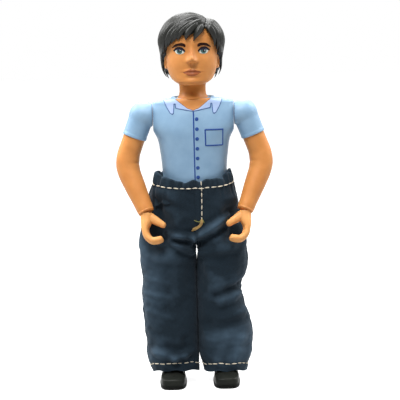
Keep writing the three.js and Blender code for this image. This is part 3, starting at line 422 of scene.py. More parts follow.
class Surface:
    """A moulded surface that prints, locks and stitches are laid on.

    Lines of sight start well before the doll or outside it, and front is about where its front lies.
    """

    before: ClassVar[float] = 80.0
    front: ClassVar[float] = 12.0
    outside: ClassVar[float] = 60.0

    def __init__(self, shape: Shape) -> None:
        """Keep the shape, whose faces point outwards or inwards alike."""
        self.tree = BVHTree.FromPolygons(shape[0].tolist(), shape[1])

    def hit(self, origin: Vector, way: Vector, close: Vector) -> tuple[Array, Array]:
        """Where a line of sight meets the surface.

        Args:
            origin: where the line starts, outside.
            way: its direction.
            close: a place to take the nearest point of, where the line misses.

        Returns:
            The point, and the direction that the surface faces there.
        """
        spot, normal, _, _ = self.tree.ray_cast(origin, way)
        if spot is None:
            spot, normal, _, _ = self.tree.find_nearest(close)
        normal = normal if normal.dot(way) < 0 else -normal
        return np.array(spot), np.array(normal)

    def from_front(self, x: float, z: float) -> tuple[Array, Array]:
        """Point straight behind a place seen from the front, and the way it faces."""
        return self.hit(Vector((x, -self.before, z)), Vector((0, 1, 0)), Vector((x, -self.front, z)))

    def nearest(self, place: Array, middle: Array) -> tuple[Array, Array]:
        """Point seen from outside along the line to the middle, and the way it faces."""
        out = Vector(place - middle).normalized()
        return self.hit(Vector(middle) + out * self.outside, -out, Vector(place))


class Nodes:
    """A tree of nodes being put together."""

    def __init__(self, tree: bpy.types.NodeTree, prefix: str = "ShaderNode") -> None:
        """Keep the tree, and what the types of its nodes start with."""
        self.tree = tree
        self.prefix = prefix

    def feed(self, socket: Socket, value: object) -> None:
        """Link a socket to another, or set its plain value.

        Args:
            socket: the socket that is fed.
            value: the other socket, or the value.
        """
        if isinstance(value, Socket):
            self.tree.links.new(value, socket)
        else:
            socket.default_value = value

    def add(self, kind: str, inputs: dict, **settings: object) -> bpy.types.Node:
        """Add a node.

        Args:
            kind: the node's type, after the prefix.
            inputs: values or links by socket name or number.
            settings: the node's own options.

        Returns:
            The node.
        """
        node = self.tree.nodes.new(self.prefix + kind)
        for option, value in settings.items():
            setattr(node, option, value)
        for socket, value in inputs.items():
            self.feed(node.inputs[socket], value)
        return node

    def give(self, kind: str, inputs: dict, output: object = 0, **settings: object) -> Socket:
        """Add a node and take one of its outputs, by name or number."""
        return self.add(kind, inputs, **settings).outputs[output]


class Recipe(Nodes):
    """A material being put together from shader nodes."""

    def __init__(self, name: str) -> None:
        """Start a material with its standard shader.

        Args:
            name: the material's name.
        """
        self.material = bpy.data.materials.new(name)
        self.material.use_nodes = True
        super().__init__(self.material.node_tree)
        self.shader = self.tree.nodes["Principled BSDF"]

    def place(self, stretch: tuple = (1, 1, 1)) -> Socket:
        """Place on the piece in its own frame, stretched along each axis."""
        here = self.give("TexCoord", {}, "Object")
        return self.give("Mapping", {"Vector": here, "Scale": stretch})

    def attribute(self, name: str, output: str = "Fac") -> Socket:
        """Number or vector that the mesh holds at each point."""
        return self.give("Attribute", {}, output, attribute_name=name)

    def noise(self, scale: float, detail: float = 3.0, where: Socket | None = None) -> Socket:
        """Cloudy value around a half, at so many blotches to the unit."""
        inputs = {"Vector": where or self.place(), "Scale": scale, "Detail": detail}
        return self.give("TexNoise", inputs, "Fac")

    def spread(self, value: Socket, low: float, high: float, start: float = 0.3, stop: float = 0.7) -> Socket:
        """Value mapped from its usual range to a chosen one."""
        inputs = {"Value": value, "From Min": start, "From Max": stop, "To Min": low, "To Max": high}
        return self.give("MapRange", inputs)

    def sum(self, first: object, second: object, kind: str = "ADD") -> Socket:
        """Two values added, or joined by another sum."""
        return self.give("Math", {0: first, 1: second}, operation=kind)

    def clamp(self, value: Socket) -> Socket:
        """Value held between 0 and 1."""
        return self.give("Clamp", {"Value": value})

    def tint(self, share: object, first: object, second: object) -> Socket:
        """Two colours mixed by a share."""
        return self.give("MixRGB", {"Fac": share, "Color1": first, "Color2": second})

    def relief(self, height: Socket, depth: float, under: Socket | None = None) -> Socket:
        """Shading of small ups and downs.

        Args:
            height: the value that makes them.
            depth: their depth in millimetres.
            under: coarser shading that they lie on, if any.

        Returns:
            The shaded direction.
        """
        inputs = {"Height": height, "Distance": depth * MM, "Strength": 1.0}
        if under is not None:
            inputs["Normal"] = under
        return self.give("Bump", inputs)

    def finish(self, **sockets: object) -> Material:
        """Feed the shader.

        Args:
            sockets: values or links by socket name, with underscores for spaces.

        Returns:
            The material.
        """
        for name, value in sockets.items():
            self.feed(self.shader.inputs[name.replace("_", " ")], value)
        return self.material


@dataclass(frozen=True)
class MouldedPlastic:
    """Plastic with cloudy colour, uneven gloss and a fine grain from its mould."""

    name: str
    colour: str
    shade: str
    roughness: float = 0.45
    uneven: float = 0.12
    grain: float = 0.012
    blotch: float = 220.0
    soft: float = 0.0
    shine: float = 0.42
    # Paler colour laid over wherever the mesh asks for it: painted light, used on the collar leaves.
    painted_light_colour: str = ""

    def material(self) -> Material:
        """Make the material.

        Returns:
            The finished material.
        """
        recipe = Recipe(self.name)
        cloud = recipe.noise(self.blotch, 4.0)
        colour = recipe.tint(recipe.spread(cloud, 0.0, 1.0), linear(self.shade), linear(self.colour))
        if self.painted_light_colour:
            colour = recipe.tint(recipe.attribute("painted_light_share"), colour, linear(self.painted_light_colour))
        gloss = recipe.spread(recipe.noise(900.0), self.roughness - self.uneven,
                              self.roughness + self.uneven)
        bump = recipe.relief(recipe.noise(5200.0, 2.0), self.grain)
        return recipe.finish(Base_Color=colour, Roughness=gloss, Normal=bump,
                             Subsurface_Weight=self.soft, Subsurface_Radius=(0.0025, 0.0012, 0.0007),
                             Subsurface_Scale=1.0, Specular_IOR_Level=self.shine)


@dataclass(frozen=True)
class Ink:
    """Printed paint: nearly even, with thin spots where the plastic shows through."""

    name: str
    colour: str
    thin: str
    roughness: float = 0.4
    shine: float = 0.35

    def material(self) -> Material:
        """Make the material.

        Returns:
            The finished material.
        """
        recipe = Recipe(self.name)
        worn = recipe.spread(recipe.noise(2600.0, 3.0), 0.0, 1.0, 0.35, 0.75)
        colour = recipe.tint(worn, linear(self.colour), linear(self.thin))
        gloss = recipe.spread(recipe.noise(1500.0), self.roughness - 0.1, self.roughness + 0.1)
        bump = recipe.relief(recipe.noise(6000.0), 0.008)
        return recipe.finish(Base_Color=colour, Roughness=gloss, Normal=bump, Specular_IOR_Level=self.shine)


@dataclass(frozen=True)
class SculptedHair:
    """Near-black moulded hair: fine strands run along each lock, and locks differ a little."""

    name: str = "hair_plastic"
    dark: str = "#080908"
    light: str = "#272824"

    def material(self) -> Material:
        """Make the material.

        Returns:
            The finished material.
        """
        recipe = Recipe(self.name)
        split = recipe.add("SeparateXYZ", {"Vector": recipe.attribute("lock", "Vector")})
        across = recipe.give("CombineXYZ", {"X": split.outputs["X"], "Z": split.outputs["Z"]})
        strands = recipe.noise(3.5, 2.0, across)
        tone = recipe.sum(recipe.spread(strands, 0.0, 0.6), split.outputs["Z"])
        colour = recipe.tint(recipe.clamp(tone), linear(self.dark), linear(self.light))
        gloss = recipe.spread(strands, 0.3, 0.46)
        bump = recipe.relief(strands, 0.09, recipe.relief(recipe.noise(4000.0), 0.01))
        return recipe.finish(Base_Color=colour, Roughness=gloss, Normal=bump, Specular_IOR_Level=0.28)


@dataclass(frozen=True)
class Denim:
    """Dark washed twill: slanting ribs, slubs along the weft, pale wear with painted light on raised folds,
    and painted shade in the hollows.
    """

    name: str = "denim_twill"
    warp: str = "#111c25"
    weft: str = "#1d2d38"
    worn: str = "#45596a"
    rib: float = 0.46
    rib_depth: float = 0.022

    def material(self) -> Material:
        """Make the material.

        Returns:
            The finished material.
        """
        recipe = Recipe(self.name)
        threads = recipe.give("UVMap", {}, uv_map="threads")
        slant = recipe.give("VectorMath", {0: threads, 1: (1.0, 1.35, 0.0)}, "Value",
                            operation="DOT_PRODUCT")
        turn = recipe.sum(slant, 2 * math.pi / self.rib, "MULTIPLY")
        ribs = recipe.sum(turn, 0.0, "SINE")
        ribs = recipe.sum(recipe.sum(ribs, 0.5, "MULTIPLY"), 0.5)
        combed = recipe.give("Mapping", {"Vector": threads, "Scale": (0.35, 2.4, 1.0)})
        flecks = recipe.noise(3.2, 2.0, combed)
        share = recipe.sum(recipe.sum(ribs, 0.3, "MULTIPLY"), recipe.spread(flecks, -0.15, 0.55))
        base = recipe.tint(recipe.clamp(share), linear(self.warp), linear(self.weft))
        clouds = recipe.spread(recipe.noise(95.0, 3.0), -0.07, 0.1)
        mottle = recipe.sum(clouds, recipe.spread(recipe.noise(420.0), -0.07, 0.07))
        # Share of the pale colour: wear, plus painted light on raised folds and pale bands. Painted shade
        # lowers it in hollows and dark bands.
        fade_and_painted_light = recipe.clamp(recipe.sum(recipe.attribute("wear_and_painted_light"), mottle))
        colour = recipe.tint(fade_and_painted_light, base, linear(self.worn))
        weave = recipe.relief(ribs, self.rib_depth)
        bump = recipe.relief(flecks, 0.05, weave)
        return recipe.finish(Base_Color=colour, Roughness=0.88, Normal=bump, Specular_IOR_Level=0.18,
                             Sheen_Weight=0.12, Sheen_Roughness=0.5, Sheen_Tint=(0.5, 0.6, 0.72, 1.0))


@dataclass(frozen=True)
class Thread:
    """Twisted sewing thread."""

    name: str
    colour: str
    dark: str

    def material(self) -> Material:
        """Make the material.

        Returns:
            The finished material.
        """
        recipe = Recipe(self.name)
        ply = recipe.noise(3200.0, 2.0, recipe.place((1.0, 1.0, 2.6)))
        colour = recipe.tint(recipe.spread(ply, 0.0, 1.0), linear(self.dark), linear(self.colour))
        return recipe.finish(Base_Color=colour, Roughness=0.7, Normal=recipe.relief(ply, 0.05),
                             Sheen_Weight=0.3)


class PathNodes(Nodes):
    """A Geometry Nodes tree that takes a path and gives a piece."""

    def __init__(self, name: str, *sizes: str) -> None:
        """Start a tree with one geometry in and one out.

        Args:
            name: the tree's name.
            sizes: names of the lengths that it is given.
        """
        super().__init__(bpy.data.node_groups.new(name, "GeometryNodeTree"), "")
        self.keys: dict[str, str] = {}
        self.socket("Path", "NodeSocketGeometry")
        for size in sizes:
            self.socket(size, "NodeSocketFloat")
        self.socket("Material", "NodeSocketMaterial")
        self.tree.interface.new_socket("Piece", in_out="OUTPUT", socket_type="NodeSocketGeometry")
        self.source = self.tree.nodes.new("NodeGroupInput")
        self.target = self.tree.nodes.new("NodeGroupOutput")

    def socket(self, name: str, kind: str) -> None:
        """Give the tree a named input."""
        item = self.tree.interface.new_socket(name, in_out="INPUT", socket_type=kind)
        self.keys[name] = item.identifier

    def given(self, name: str) -> Socket:
        """The tree's own input of that name."""
        return self.source.outputs[name]

    def close(self, geometry: Socket) -> None:
        """End the tree: instances made real, shaded smooth and given their material.

        Args:
            geometry: what the tree has made.
        """
        for kind in ("RealizeInstances", "SetShadeSmooth"):
            geometry = self.give(f"GeometryNode{kind}", {"Geometry": geometry})
        inputs = {"Geometry": geometry, "Material": self.given("Material")}
        self.feed(self.target.inputs["Piece"], self.give("GeometryNodeSetMaterial", inputs))


class PathTool:
    """Geometry Nodes that turn paths on a surface into sewn stitches or drawn lines."""

    def __init__(self, nodes: PathNodes) -> None:
        """Keep a finished tree."""
        self.nodes = nodes

    @classmethod
    def stitching(cls) -> "PathTool":
        """Make the tool that lays thread stitches end to end along a path.

        Returns:
            The tool.
        """
        nodes = PathNodes("stitches_along_path", "Pitch", "Length", "Thickness")
        curve = nodes.give("GeometryNodeMeshToCurve", {"Mesh": nodes.given("Path")})
        spaced = nodes.give("GeometryNodeResampleCurve", {"Curve": curve, "Length": nodes.given("Pitch")},
                            mode="LENGTH")
        tangent = nodes.give("GeometryNodeInputTangent", {})
        aimed = nodes.give("FunctionNodeAlignRotationToVector", {"Vector": tangent}, axis="Z")
        wobble = nodes.give("FunctionNodeRandomValue", {
            "Min": (-0.07, -0.07, 0.0), "Max": (0.07, 0.07, 0.0), "Seed": 7}, data_type="FLOAT_VECTOR")
        turned = nodes.give("FunctionNodeRotateRotation", {"Rotation": aimed, "Rotate By": wobble},
                            rotation_space="LOCAL")
        size = nodes.give("ShaderNodeCombineXYZ", {
            "X": nodes.given("Thickness"), "Y": nodes.given("Thickness"), "Z": nodes.given("Length")})
        bead = nodes.give("GeometryNodeMeshUVSphere", {"Segments": 8, "Rings": 7, "Radius": 0.5})
        nodes.close(nodes.give("GeometryNodeInstanceOnPoints", {
            "Points": spaced, "Instance": bead, "Rotation": turned, "Scale": size}))
        return cls(nodes)

    @classmethod
    def drawing(cls) -> "PathTool":
        """Make the tool that runs a round line along a path.

        Returns:
            The tool.
        """
        nodes = PathNodes("line_along_path", "Thickness")
        half = nodes.give("ShaderNodeMath", {0: nodes.given("Thickness"), 1: 0.5}, operation="MULTIPLY")
        curve = nodes.give("GeometryNodeMeshToCurve", {"Mesh": nodes.given("Path")})
        section = nodes.give("GeometryNodeCurvePrimitiveCircle", {"Resolution": 10, "Radius": half})
        nodes.close(nodes.give("GeometryNodeCurveToMesh", {
            "Curve": curve, "Profile Curve": section, "Fill Caps": True}))
        return cls(nodes)

    def make(self, name: str, paths: list, material: Material, **sizes: float) -> Piece:
        """Run the tool over paths.

        Args:
            name: the new piece's name.
            paths: arrays of points in millimetres from the doll's axis.
            material: the finish.
            sizes: the tool's own sizes in millimetres, by input name.

        Returns:
            A plain mesh object.
        """
        points, edges = [], []
        for path in paths:
            start = len(points)
            points += metres(np.asarray(path))
            edges += [(start + k, start + k + 1) for k in range(len(path) - 1)]
        mesh = bpy.data.meshes.new(f"{name}_path")
        mesh.from_pydata(points, edges, [])
        guide = add_object(f"{name}_path", mesh)
        tool = guide.modifiers.new("tool", "NODES")
        tool.node_group = self.nodes.tree
        for size, value in sizes.items():
            tool[self.nodes.keys[size]] = value * MM
        tool[self.nodes.keys["Material"]] = material
        shown = guide.evaluated_get(bpy.context.evaluated_depsgraph_get())
        made = bpy.data.meshes.new_from_object(shown)
        made.name = name
        bpy.data.objects.remove(guide)
        return add_object(name, made)


@dataclass
class Printer:
    """Prints flat shapes and lines on a moulded surface, as seen from the front."""

    surface: Surface
    sink: float = 0.25
    step: float = 0.3
    inset: float = 0.1
    clearance: float = 0.08
    pitch: float = 0.25

    def patch(self, outline: Array, lift: float) -> Shape:
        """Thin skin over the area inside an outline.

        Args:
            outline: x and z of points around the area.
            lift: how far it stands off the surface.

        Returns:
            Points and faces, with an edge that turns into the surface.
        """
        low, high = outline.min(axis=0), outline.max(axis=0)
        columns, rows = (np.arange(low[i] + self.inset, high[i], self.step) for i in range(2))
        grid = np.array([(x, z) for x in columns for z in rows])
        to_edge = np.linalg.norm(grid[:, None] - outline[None], axis=-1).min(axis=1)
        inside = grid[inside_of(outline, grid) & (to_edge >= self.clearance)]
        flat = [Vector(spot) for spot in [*outline.tolist(), *inside.tolist()]]
        ring = list(range(len(outline)))
        spots, _, faces, _, _, _ = delaunay_2d_cdt(flat, [], [ring], 1, 1e-5)
        laid = [self.surface.from_front(*spot) for spot in spots]
        points = [point + normal * lift for point, normal in laid]
        count = len(points)
        border = ring + [0]
        points += [points[k] - laid[k][1] * (lift + self.sink) for k in ring]
        edge = [[border[k], border[k + 1], count + border[k + 1], count + border[k]] for k in ring]
        turn = sum(outline[k - 1][0] * outline[k][1] - outline[k][0] * outline[k - 1][1] for k in ring)
        edge = [face[::-1] for face in edge] if turn > 0 else edge
        return np.array(points), [list(face) for face in faces] + edge

    def line(self, points: list | Array, sink: float) -> Array:
        """Path on the surface under a line drawn through points.

        Args:
            points: x and z of the line's corners.
            sink: how deep the path lies under the surface.

        Returns:
            Points of the path.
        """
        corners = np.array(points, dtype=float)
        flat = evenly(corners, max(3, int(travelled(corners)[-1] / self.pitch)))
        laid = [self.surface.from_front(x, z) for x, z in flat]
        return np.array([point - normal * sink for point, normal in laid])


class Palette:
    """Every finish on the doll, made once."""

    def __init__(self) -> None:
        """Make the materials."""
        self.skin = MouldedPlastic("skin_vinyl", "#d7904e", "#cb8445", 0.5, soft=0.12, shine=0.3).material()
        # The hands are paler than the arms: partly a paler vinyl, partly painted light from above, where they
        # face up.
        self.hand = MouldedPlastic("hand_vinyl_painted_light", "#e9a866", "#de9d5a", 0.5, soft=0.12, shine=0.3).material()
        # The neck post is painted darker than the head and arms: painted shade under the chin.
        self.neck = MouldedPlastic("neck_vinyl_painted_shade", "#c9823f", "#bb7636", 0.55, soft=0.12, shine=0.2).material()
        self.shirt = MouldedPlastic("shirt_plastic", "#8fb1cd", "#84a6c4", 0.5).material()
        # The collar leaves are painted paler than the rest of the shirt: painted light from above.
        self.collar = MouldedPlastic("collar_plastic_painted_light", "#8fb1cd", "#84a6c4", 0.5, painted_light_colour="#a9bfe4").material()
        self.hair = SculptedHair().material()
        self.denim = Denim().material()
        self.shoe = MouldedPlastic("shoe_plastic", "#252723", "#1d1f1c", 0.34, 0.08, 0.03,
                                   shine=0.08).material()
        self.sole = MouldedPlastic("sole_plastic", "#131412", "#0c0d0b", 0.5, 0.1, 0.04,
                                   shine=0.08).material()
        self.pin = MouldedPlastic("pin_plastic", "#b9b3a6", "#a8a295", 0.5).material()
        self.navy = Ink("shirt_ink", "#183f88", "#285296").material()
        self.brow = Ink("brow_paint", "#1f0b04", "#2c130a", 0.6, 0.1).material()
        self.lash = Ink("lash_paint", "#130d15", "#1f1720", 0.6, 0.12).material()
        self.white = Ink("eye_white", "#e0e2d6", "#ced3c8", 0.25).material()
        self.shadow = Ink("eye_shadow", "#57586e", "#6c6d84", 0.3).material()
        self.iris = Ink("iris_teal", "#4d7f78", "#356660", 0.22).material()
        self.rim = Ink("iris_rim", "#181b40", "#10142c", 0.22).material()
        self.pupil = Ink("pupil_paint", "#070a10", "#0c1218", 0.2).material()
        self.glint = Ink("eye_glint", "#f6f8f8", "#eef2f2", 0.2).material()
        self.lip = Ink("lip_paint", "#9d5329", "#a75d31", 0.5).material()
        self.mouth = Ink("mouth_line", "#64290f", "#753518", 0.5).material()
        self.collar_edge = Ink("collar_edge", "#7d5548", "#8d6a60").material()
        self.gold = Thread("gold_thread", "#cfa968", "#a47f42").material()
        self.cream = Thread("cream_thread", "#f2ead8", "#dccdb0").material()
        self.olive = Thread("olive_thread", "#8b8a36", "#5f6127").material()


@dataclass
class Head:
    """Soft vinyl head with a pressed-out face, ears and painted features."""

    colours: Palette
    chin: float = 121.5
    height: float = 25.8
    half_width: float = 10.1
    power: float = 2.15
    rows: int = 170
    columns: int = 220
    eye_x: float = 4.72
    eye_z: float = 134.8
    mouth_z: float = 126.75
    outline: Profile = Profile(
        (0, 0.3, 8.4, -4.5), (0.012, 0.44, 9.8, -3.0), (0.045, 0.64, 10.7, 0.5), (0.09, 0.785, 11, 5.9),
        (0.16, 0.885, 11, 8.58), (0.25, 0.96, 11, 9.98), (0.38, 0.99, 11, 11.02), (0.55, 1, 10.6, 11.6),
        (0.73, 1, 10.4, 11.6), (0.87, 0.85, 8.4, 10.09), (0.96, 0.55, 5.5, 6.73), (1, 0.2, 1.98, 2.55))
    nose: Profile = Profile(
        (129.5, 0, 1.5), (130.1, 0.4, 1.75), (130.8, 1.9, 1.75), (131.9, 2.6, 1.5), (133.3, 2.0, 1.15),
        (135.2, 1.15, 1.0), (136.8, 0.55, 1.1), (139.5, 0.0, 1.4))
    almond: tuple = ((-1.95, -0.2), (-1.2, 0.95), (0.1, 1.42), (1.15, 1.1), (1.8, 0.3), (1.25, -0.75),
                     (0.2, -1.1), (-1.2, -0.9))
    lid_shadow: tuple = ((-1.8, 0.1), (-1.1, 0.95), (0.1, 1.4), (1.15, 1.08), (1.75, 0.4), (1.1, 0.5),
                         (0.1, 0.75), (-1.0, 0.45))
    lid: tuple = ((2.65, 134.7), (3.45, 135.8), (4.8, 136.3), (5.9, 136.02), (6.9, 135.15))
    brow: tuple = ((2.4, 137.5), (3.4, 138.0), (5.1, 138.0), (6.4, 137.5), (7.7, 136.2), (6.3, 136.6),
                   (5.0, 137.0), (3.6, 136.9), (2.45, 136.5))
    mouth: tuple = ((-3.45, 126.6), (-2, 126.75), (-0.9, 126.85), (0, 126.7), (0.9, 126.85), (2, 126.75),
                    (3.45, 126.6))

    def bumps(self) -> dict[str, tuple]:
        """Rises and hollows of the face: amount, place aside, half width, level and half height."""
        return {
            "nostril wings": (0.42, 1.5, 0.62, 131.15, 0.75),
            "nostrils": (-0.4, 0.75, 0.4, 130.25, 0.35),
            "eye sockets": (-0.6, self.eye_x, 2.5, self.eye_z, 1.75),
            "eyeballs": (0.32, self.eye_x, 1.7, self.eye_z - 0.1, 1.1),
            "brow ridge": (0.3, 4.6, 3.0, 137.4, 0.9),
            "cheeks": (0.22, 6.0, 2.6, 130.3, 2.6),
            "lip groove": (-0.12, 0, 0.45, 128.9, 0.8),
            "chin groove": (-0.2, 0, 2.6, 124.5, 0.6),
            "chin": (0.7, 0, 2.6, 122.9, 1.5),
        }

    def relief(self, x: Array, z: Array) -> Array:
        """How far the face stands out at each place seen from the front.

        Args:
            x: places from side to side.
            z: their heights.

        Returns:
            One distance for each place.
        """
        side = np.abs(x)
        stand, reach = self.nose.at(z)
        total = stand * bell(x, reach)
        for amount, aside, half_width, level, half_height in self.bumps().values():
            total += amount * bell(side - aside, half_width) * bell(z - level, half_height)
        mouth = self.mouth_z + 0.12 * bell(side - 1.0, 0.7) - 0.1 * (side / 3.5) ** 2
        lips = {"upper": (0.42, 2.9, 0.55, 0.55), "lower": (0.5, 2.5, -0.95, 0.75),
                "between": (-0.34, 3.0, 0.0, 0.2)}
        for amount, half_width, above, half_height in lips.values():
            total += amount * bell(x, half_width) * bell(z - mouth - above, half_height)
        return total

    def form(self) -> Shape:
        """Skin of the head without its ears.

        Returns:
            Points and faces.
        """
        share = np.linspace(0, 1, self.rows) ** 1.12
        across, front, back = self.outline.at(share)
        turn = turns(self.columns)
        turn = turn - 0.55 * np.sin(turn)
        x, y = oval(self.half_width * across, front, back, self.power, turn)
        z = np.broadcast_to((self.chin + self.height * share)[:, None], x.shape)
        facing = ease(-y, 0.0, 6.6)
        return skin(np.dstack([x, y - facing * self.relief(x, z), z]))

    def ear(self, side: int) -> Shape:
        """One ear: a tilted cup with a rolled rim.

        Args:
            side: 1 for left, -1 for right.

        Returns:
            Points and faces.
        """
        rows, columns = 22, 48
        reach = np.linspace(0, 1, rows)[:, None]
        around = turns(columns)[None]
        stand = Profile((0, 0.75), (0.35, 0.72), (0.6, 1.0), (0.8, 1.32), (0.93, 1.0), (1, 0)).at(reach)[0]
        front_lobe = 0.35 * bell(np.cos(around) + 0.9, 0.3) * bell(reach - 0.45, 0.2)
        depth = 1.8 * reach * np.cos(around) * (1 + 0.12 * np.sin(around))
        height = 2.95 * reach * np.sin(around)
        out = (stand + front_lobe) * np.ones_like(around)
        points = np.dstack([out, depth, height]).reshape(-1, 3)
        tilt = Matrix.Rotation(-0.35, 3, "Z") @ Matrix.Rotation(0.2, 3, "X")
        points = points @ np.array(tilt).T
        points = (points + (self.half_width - 0.85, 1.2, 130.5)) * (side, 1, 1)
        return skin(points.reshape(rows, columns, 3), Ends.FIRST)

    @staticmethod
    def both(corners: tuple, count: int, at: Flat = (0.0, 0.0)) -> list[Array]:
        """Outline through corners about a place on the left, and its mirror image on the right."""
        outline = curve_through(corners, count, closed=True) + at
        return [outline * (side, 1) for side in SIDES]

    def discs(self, radius: float, drop: float, cut: float = 9.0) -> list[Array]:
        """Round outline in each eye, flattened under the lid.

        Args:
            radius: its radius.
            drop: how far its middle lies below the eye's.
            cut: how far above the eye's middle the lid hides it.

        Returns:
            Outline points, left and right.
        """
        turn = turns(48)
        height = np.minimum(radius * np.sin(turn) - drop, cut + 0.02 * np.sin(turn))
        width = radius * np.cos(turn)
        return [np.column_stack([side * (self.eye_x - 0.05) + width, self.eye_z + height]) for side in SIDES]

    def build(self, drawing: PathTool) -> None:
        """Make the head and paint its face.

        Args:
            drawing: the tool for painted lines.
        """
        form = self.form()
        shape = together(form, self.ear(1), self.ear(-1))
        settle(make_piece("head_vinyl", shape, self.colours.skin), "head", "skin", "head")
        printer = Printer(Surface(form), step=0.16)
        eye = (self.eye_x, self.eye_z)
        layers = {
            "eye_whites": (self.colours.white, 0.05, self.both(self.almond, 64, eye)),
            "eye_shadows": (self.colours.shadow, 0.09, self.both(self.lid_shadow, 56, eye)),
            "iris_rims": (self.colours.rim, 0.13, self.discs(1.08, -0.15, 1.2)),
            "irises": (self.colours.iris, 0.17, self.discs(0.86, 0.05, 0.5)),
            "pupils": (self.colours.pupil, 0.22, self.discs(0.58, -0.1)),
            "eye_glints": (self.colours.glint, 0.27, [disc + (0.32, 0) for disc in self.discs(0.16, -0.35)]),
            "eyebrows": (self.colours.brow, 0.06, self.both(self.brow, 60)),
            "lips": (self.colours.lip, 0.07, self.lips()),
        }
        for name, (ink, lift, outlines) in layers.items():
            shape = together(*[printer.patch(outline, lift) for outline in outlines])
            settle(make_piece(name, shape, ink), "head", "skin")
        lids = [printer.line(curve_through(self.lid, 30) * (side, 1), 0.02) for side in SIDES]
        settle(drawing.make("eye_lids", lids, self.colours.lash, Thickness=0.72), "head", "skin")
        path = printer.line(curve_through(self.mouth, 40), 0.01)
        settle(drawing.make("mouth_line", [path], self.colours.mouth, Thickness=0.26), "head", "skin")

    def lips(self) -> list[Array]:
        """Painted upper and lower lip.

        Returns:
            The outline of each.
        """
        z = self.mouth_z
        upper = [(-3.4, z - 0.1), (-2.2, z + 0.55), (-0.8, z + 1.0), (0, z + 0.8), (0.8, z + 1.0),
                 (2.2, z + 0.55), (3.4, z - 0.1), (1.8, z), (0, z - 0.05), (-1.8, z)]
        lower = [(-3.1, z - 0.2), (-1.5, z - 0.1), (0, z - 0.12), (1.5, z - 0.1), (3.1, z - 0.2),
                 (2, z - 1.05), (0, z - 1.6), (-2, z - 1.05)]
        return [curve_through(points, 60, closed=True) for points in (upper, lower)]


@dataclass(frozen=True)
class LockRow:
    """A row of locks combed the same way, from roots over bends to tips."""

    roots: list
    bends: list
    tips: list
    count: int
    width: float
    height: float
    lift: float
    tuck: float
    stagger: float = 0.18


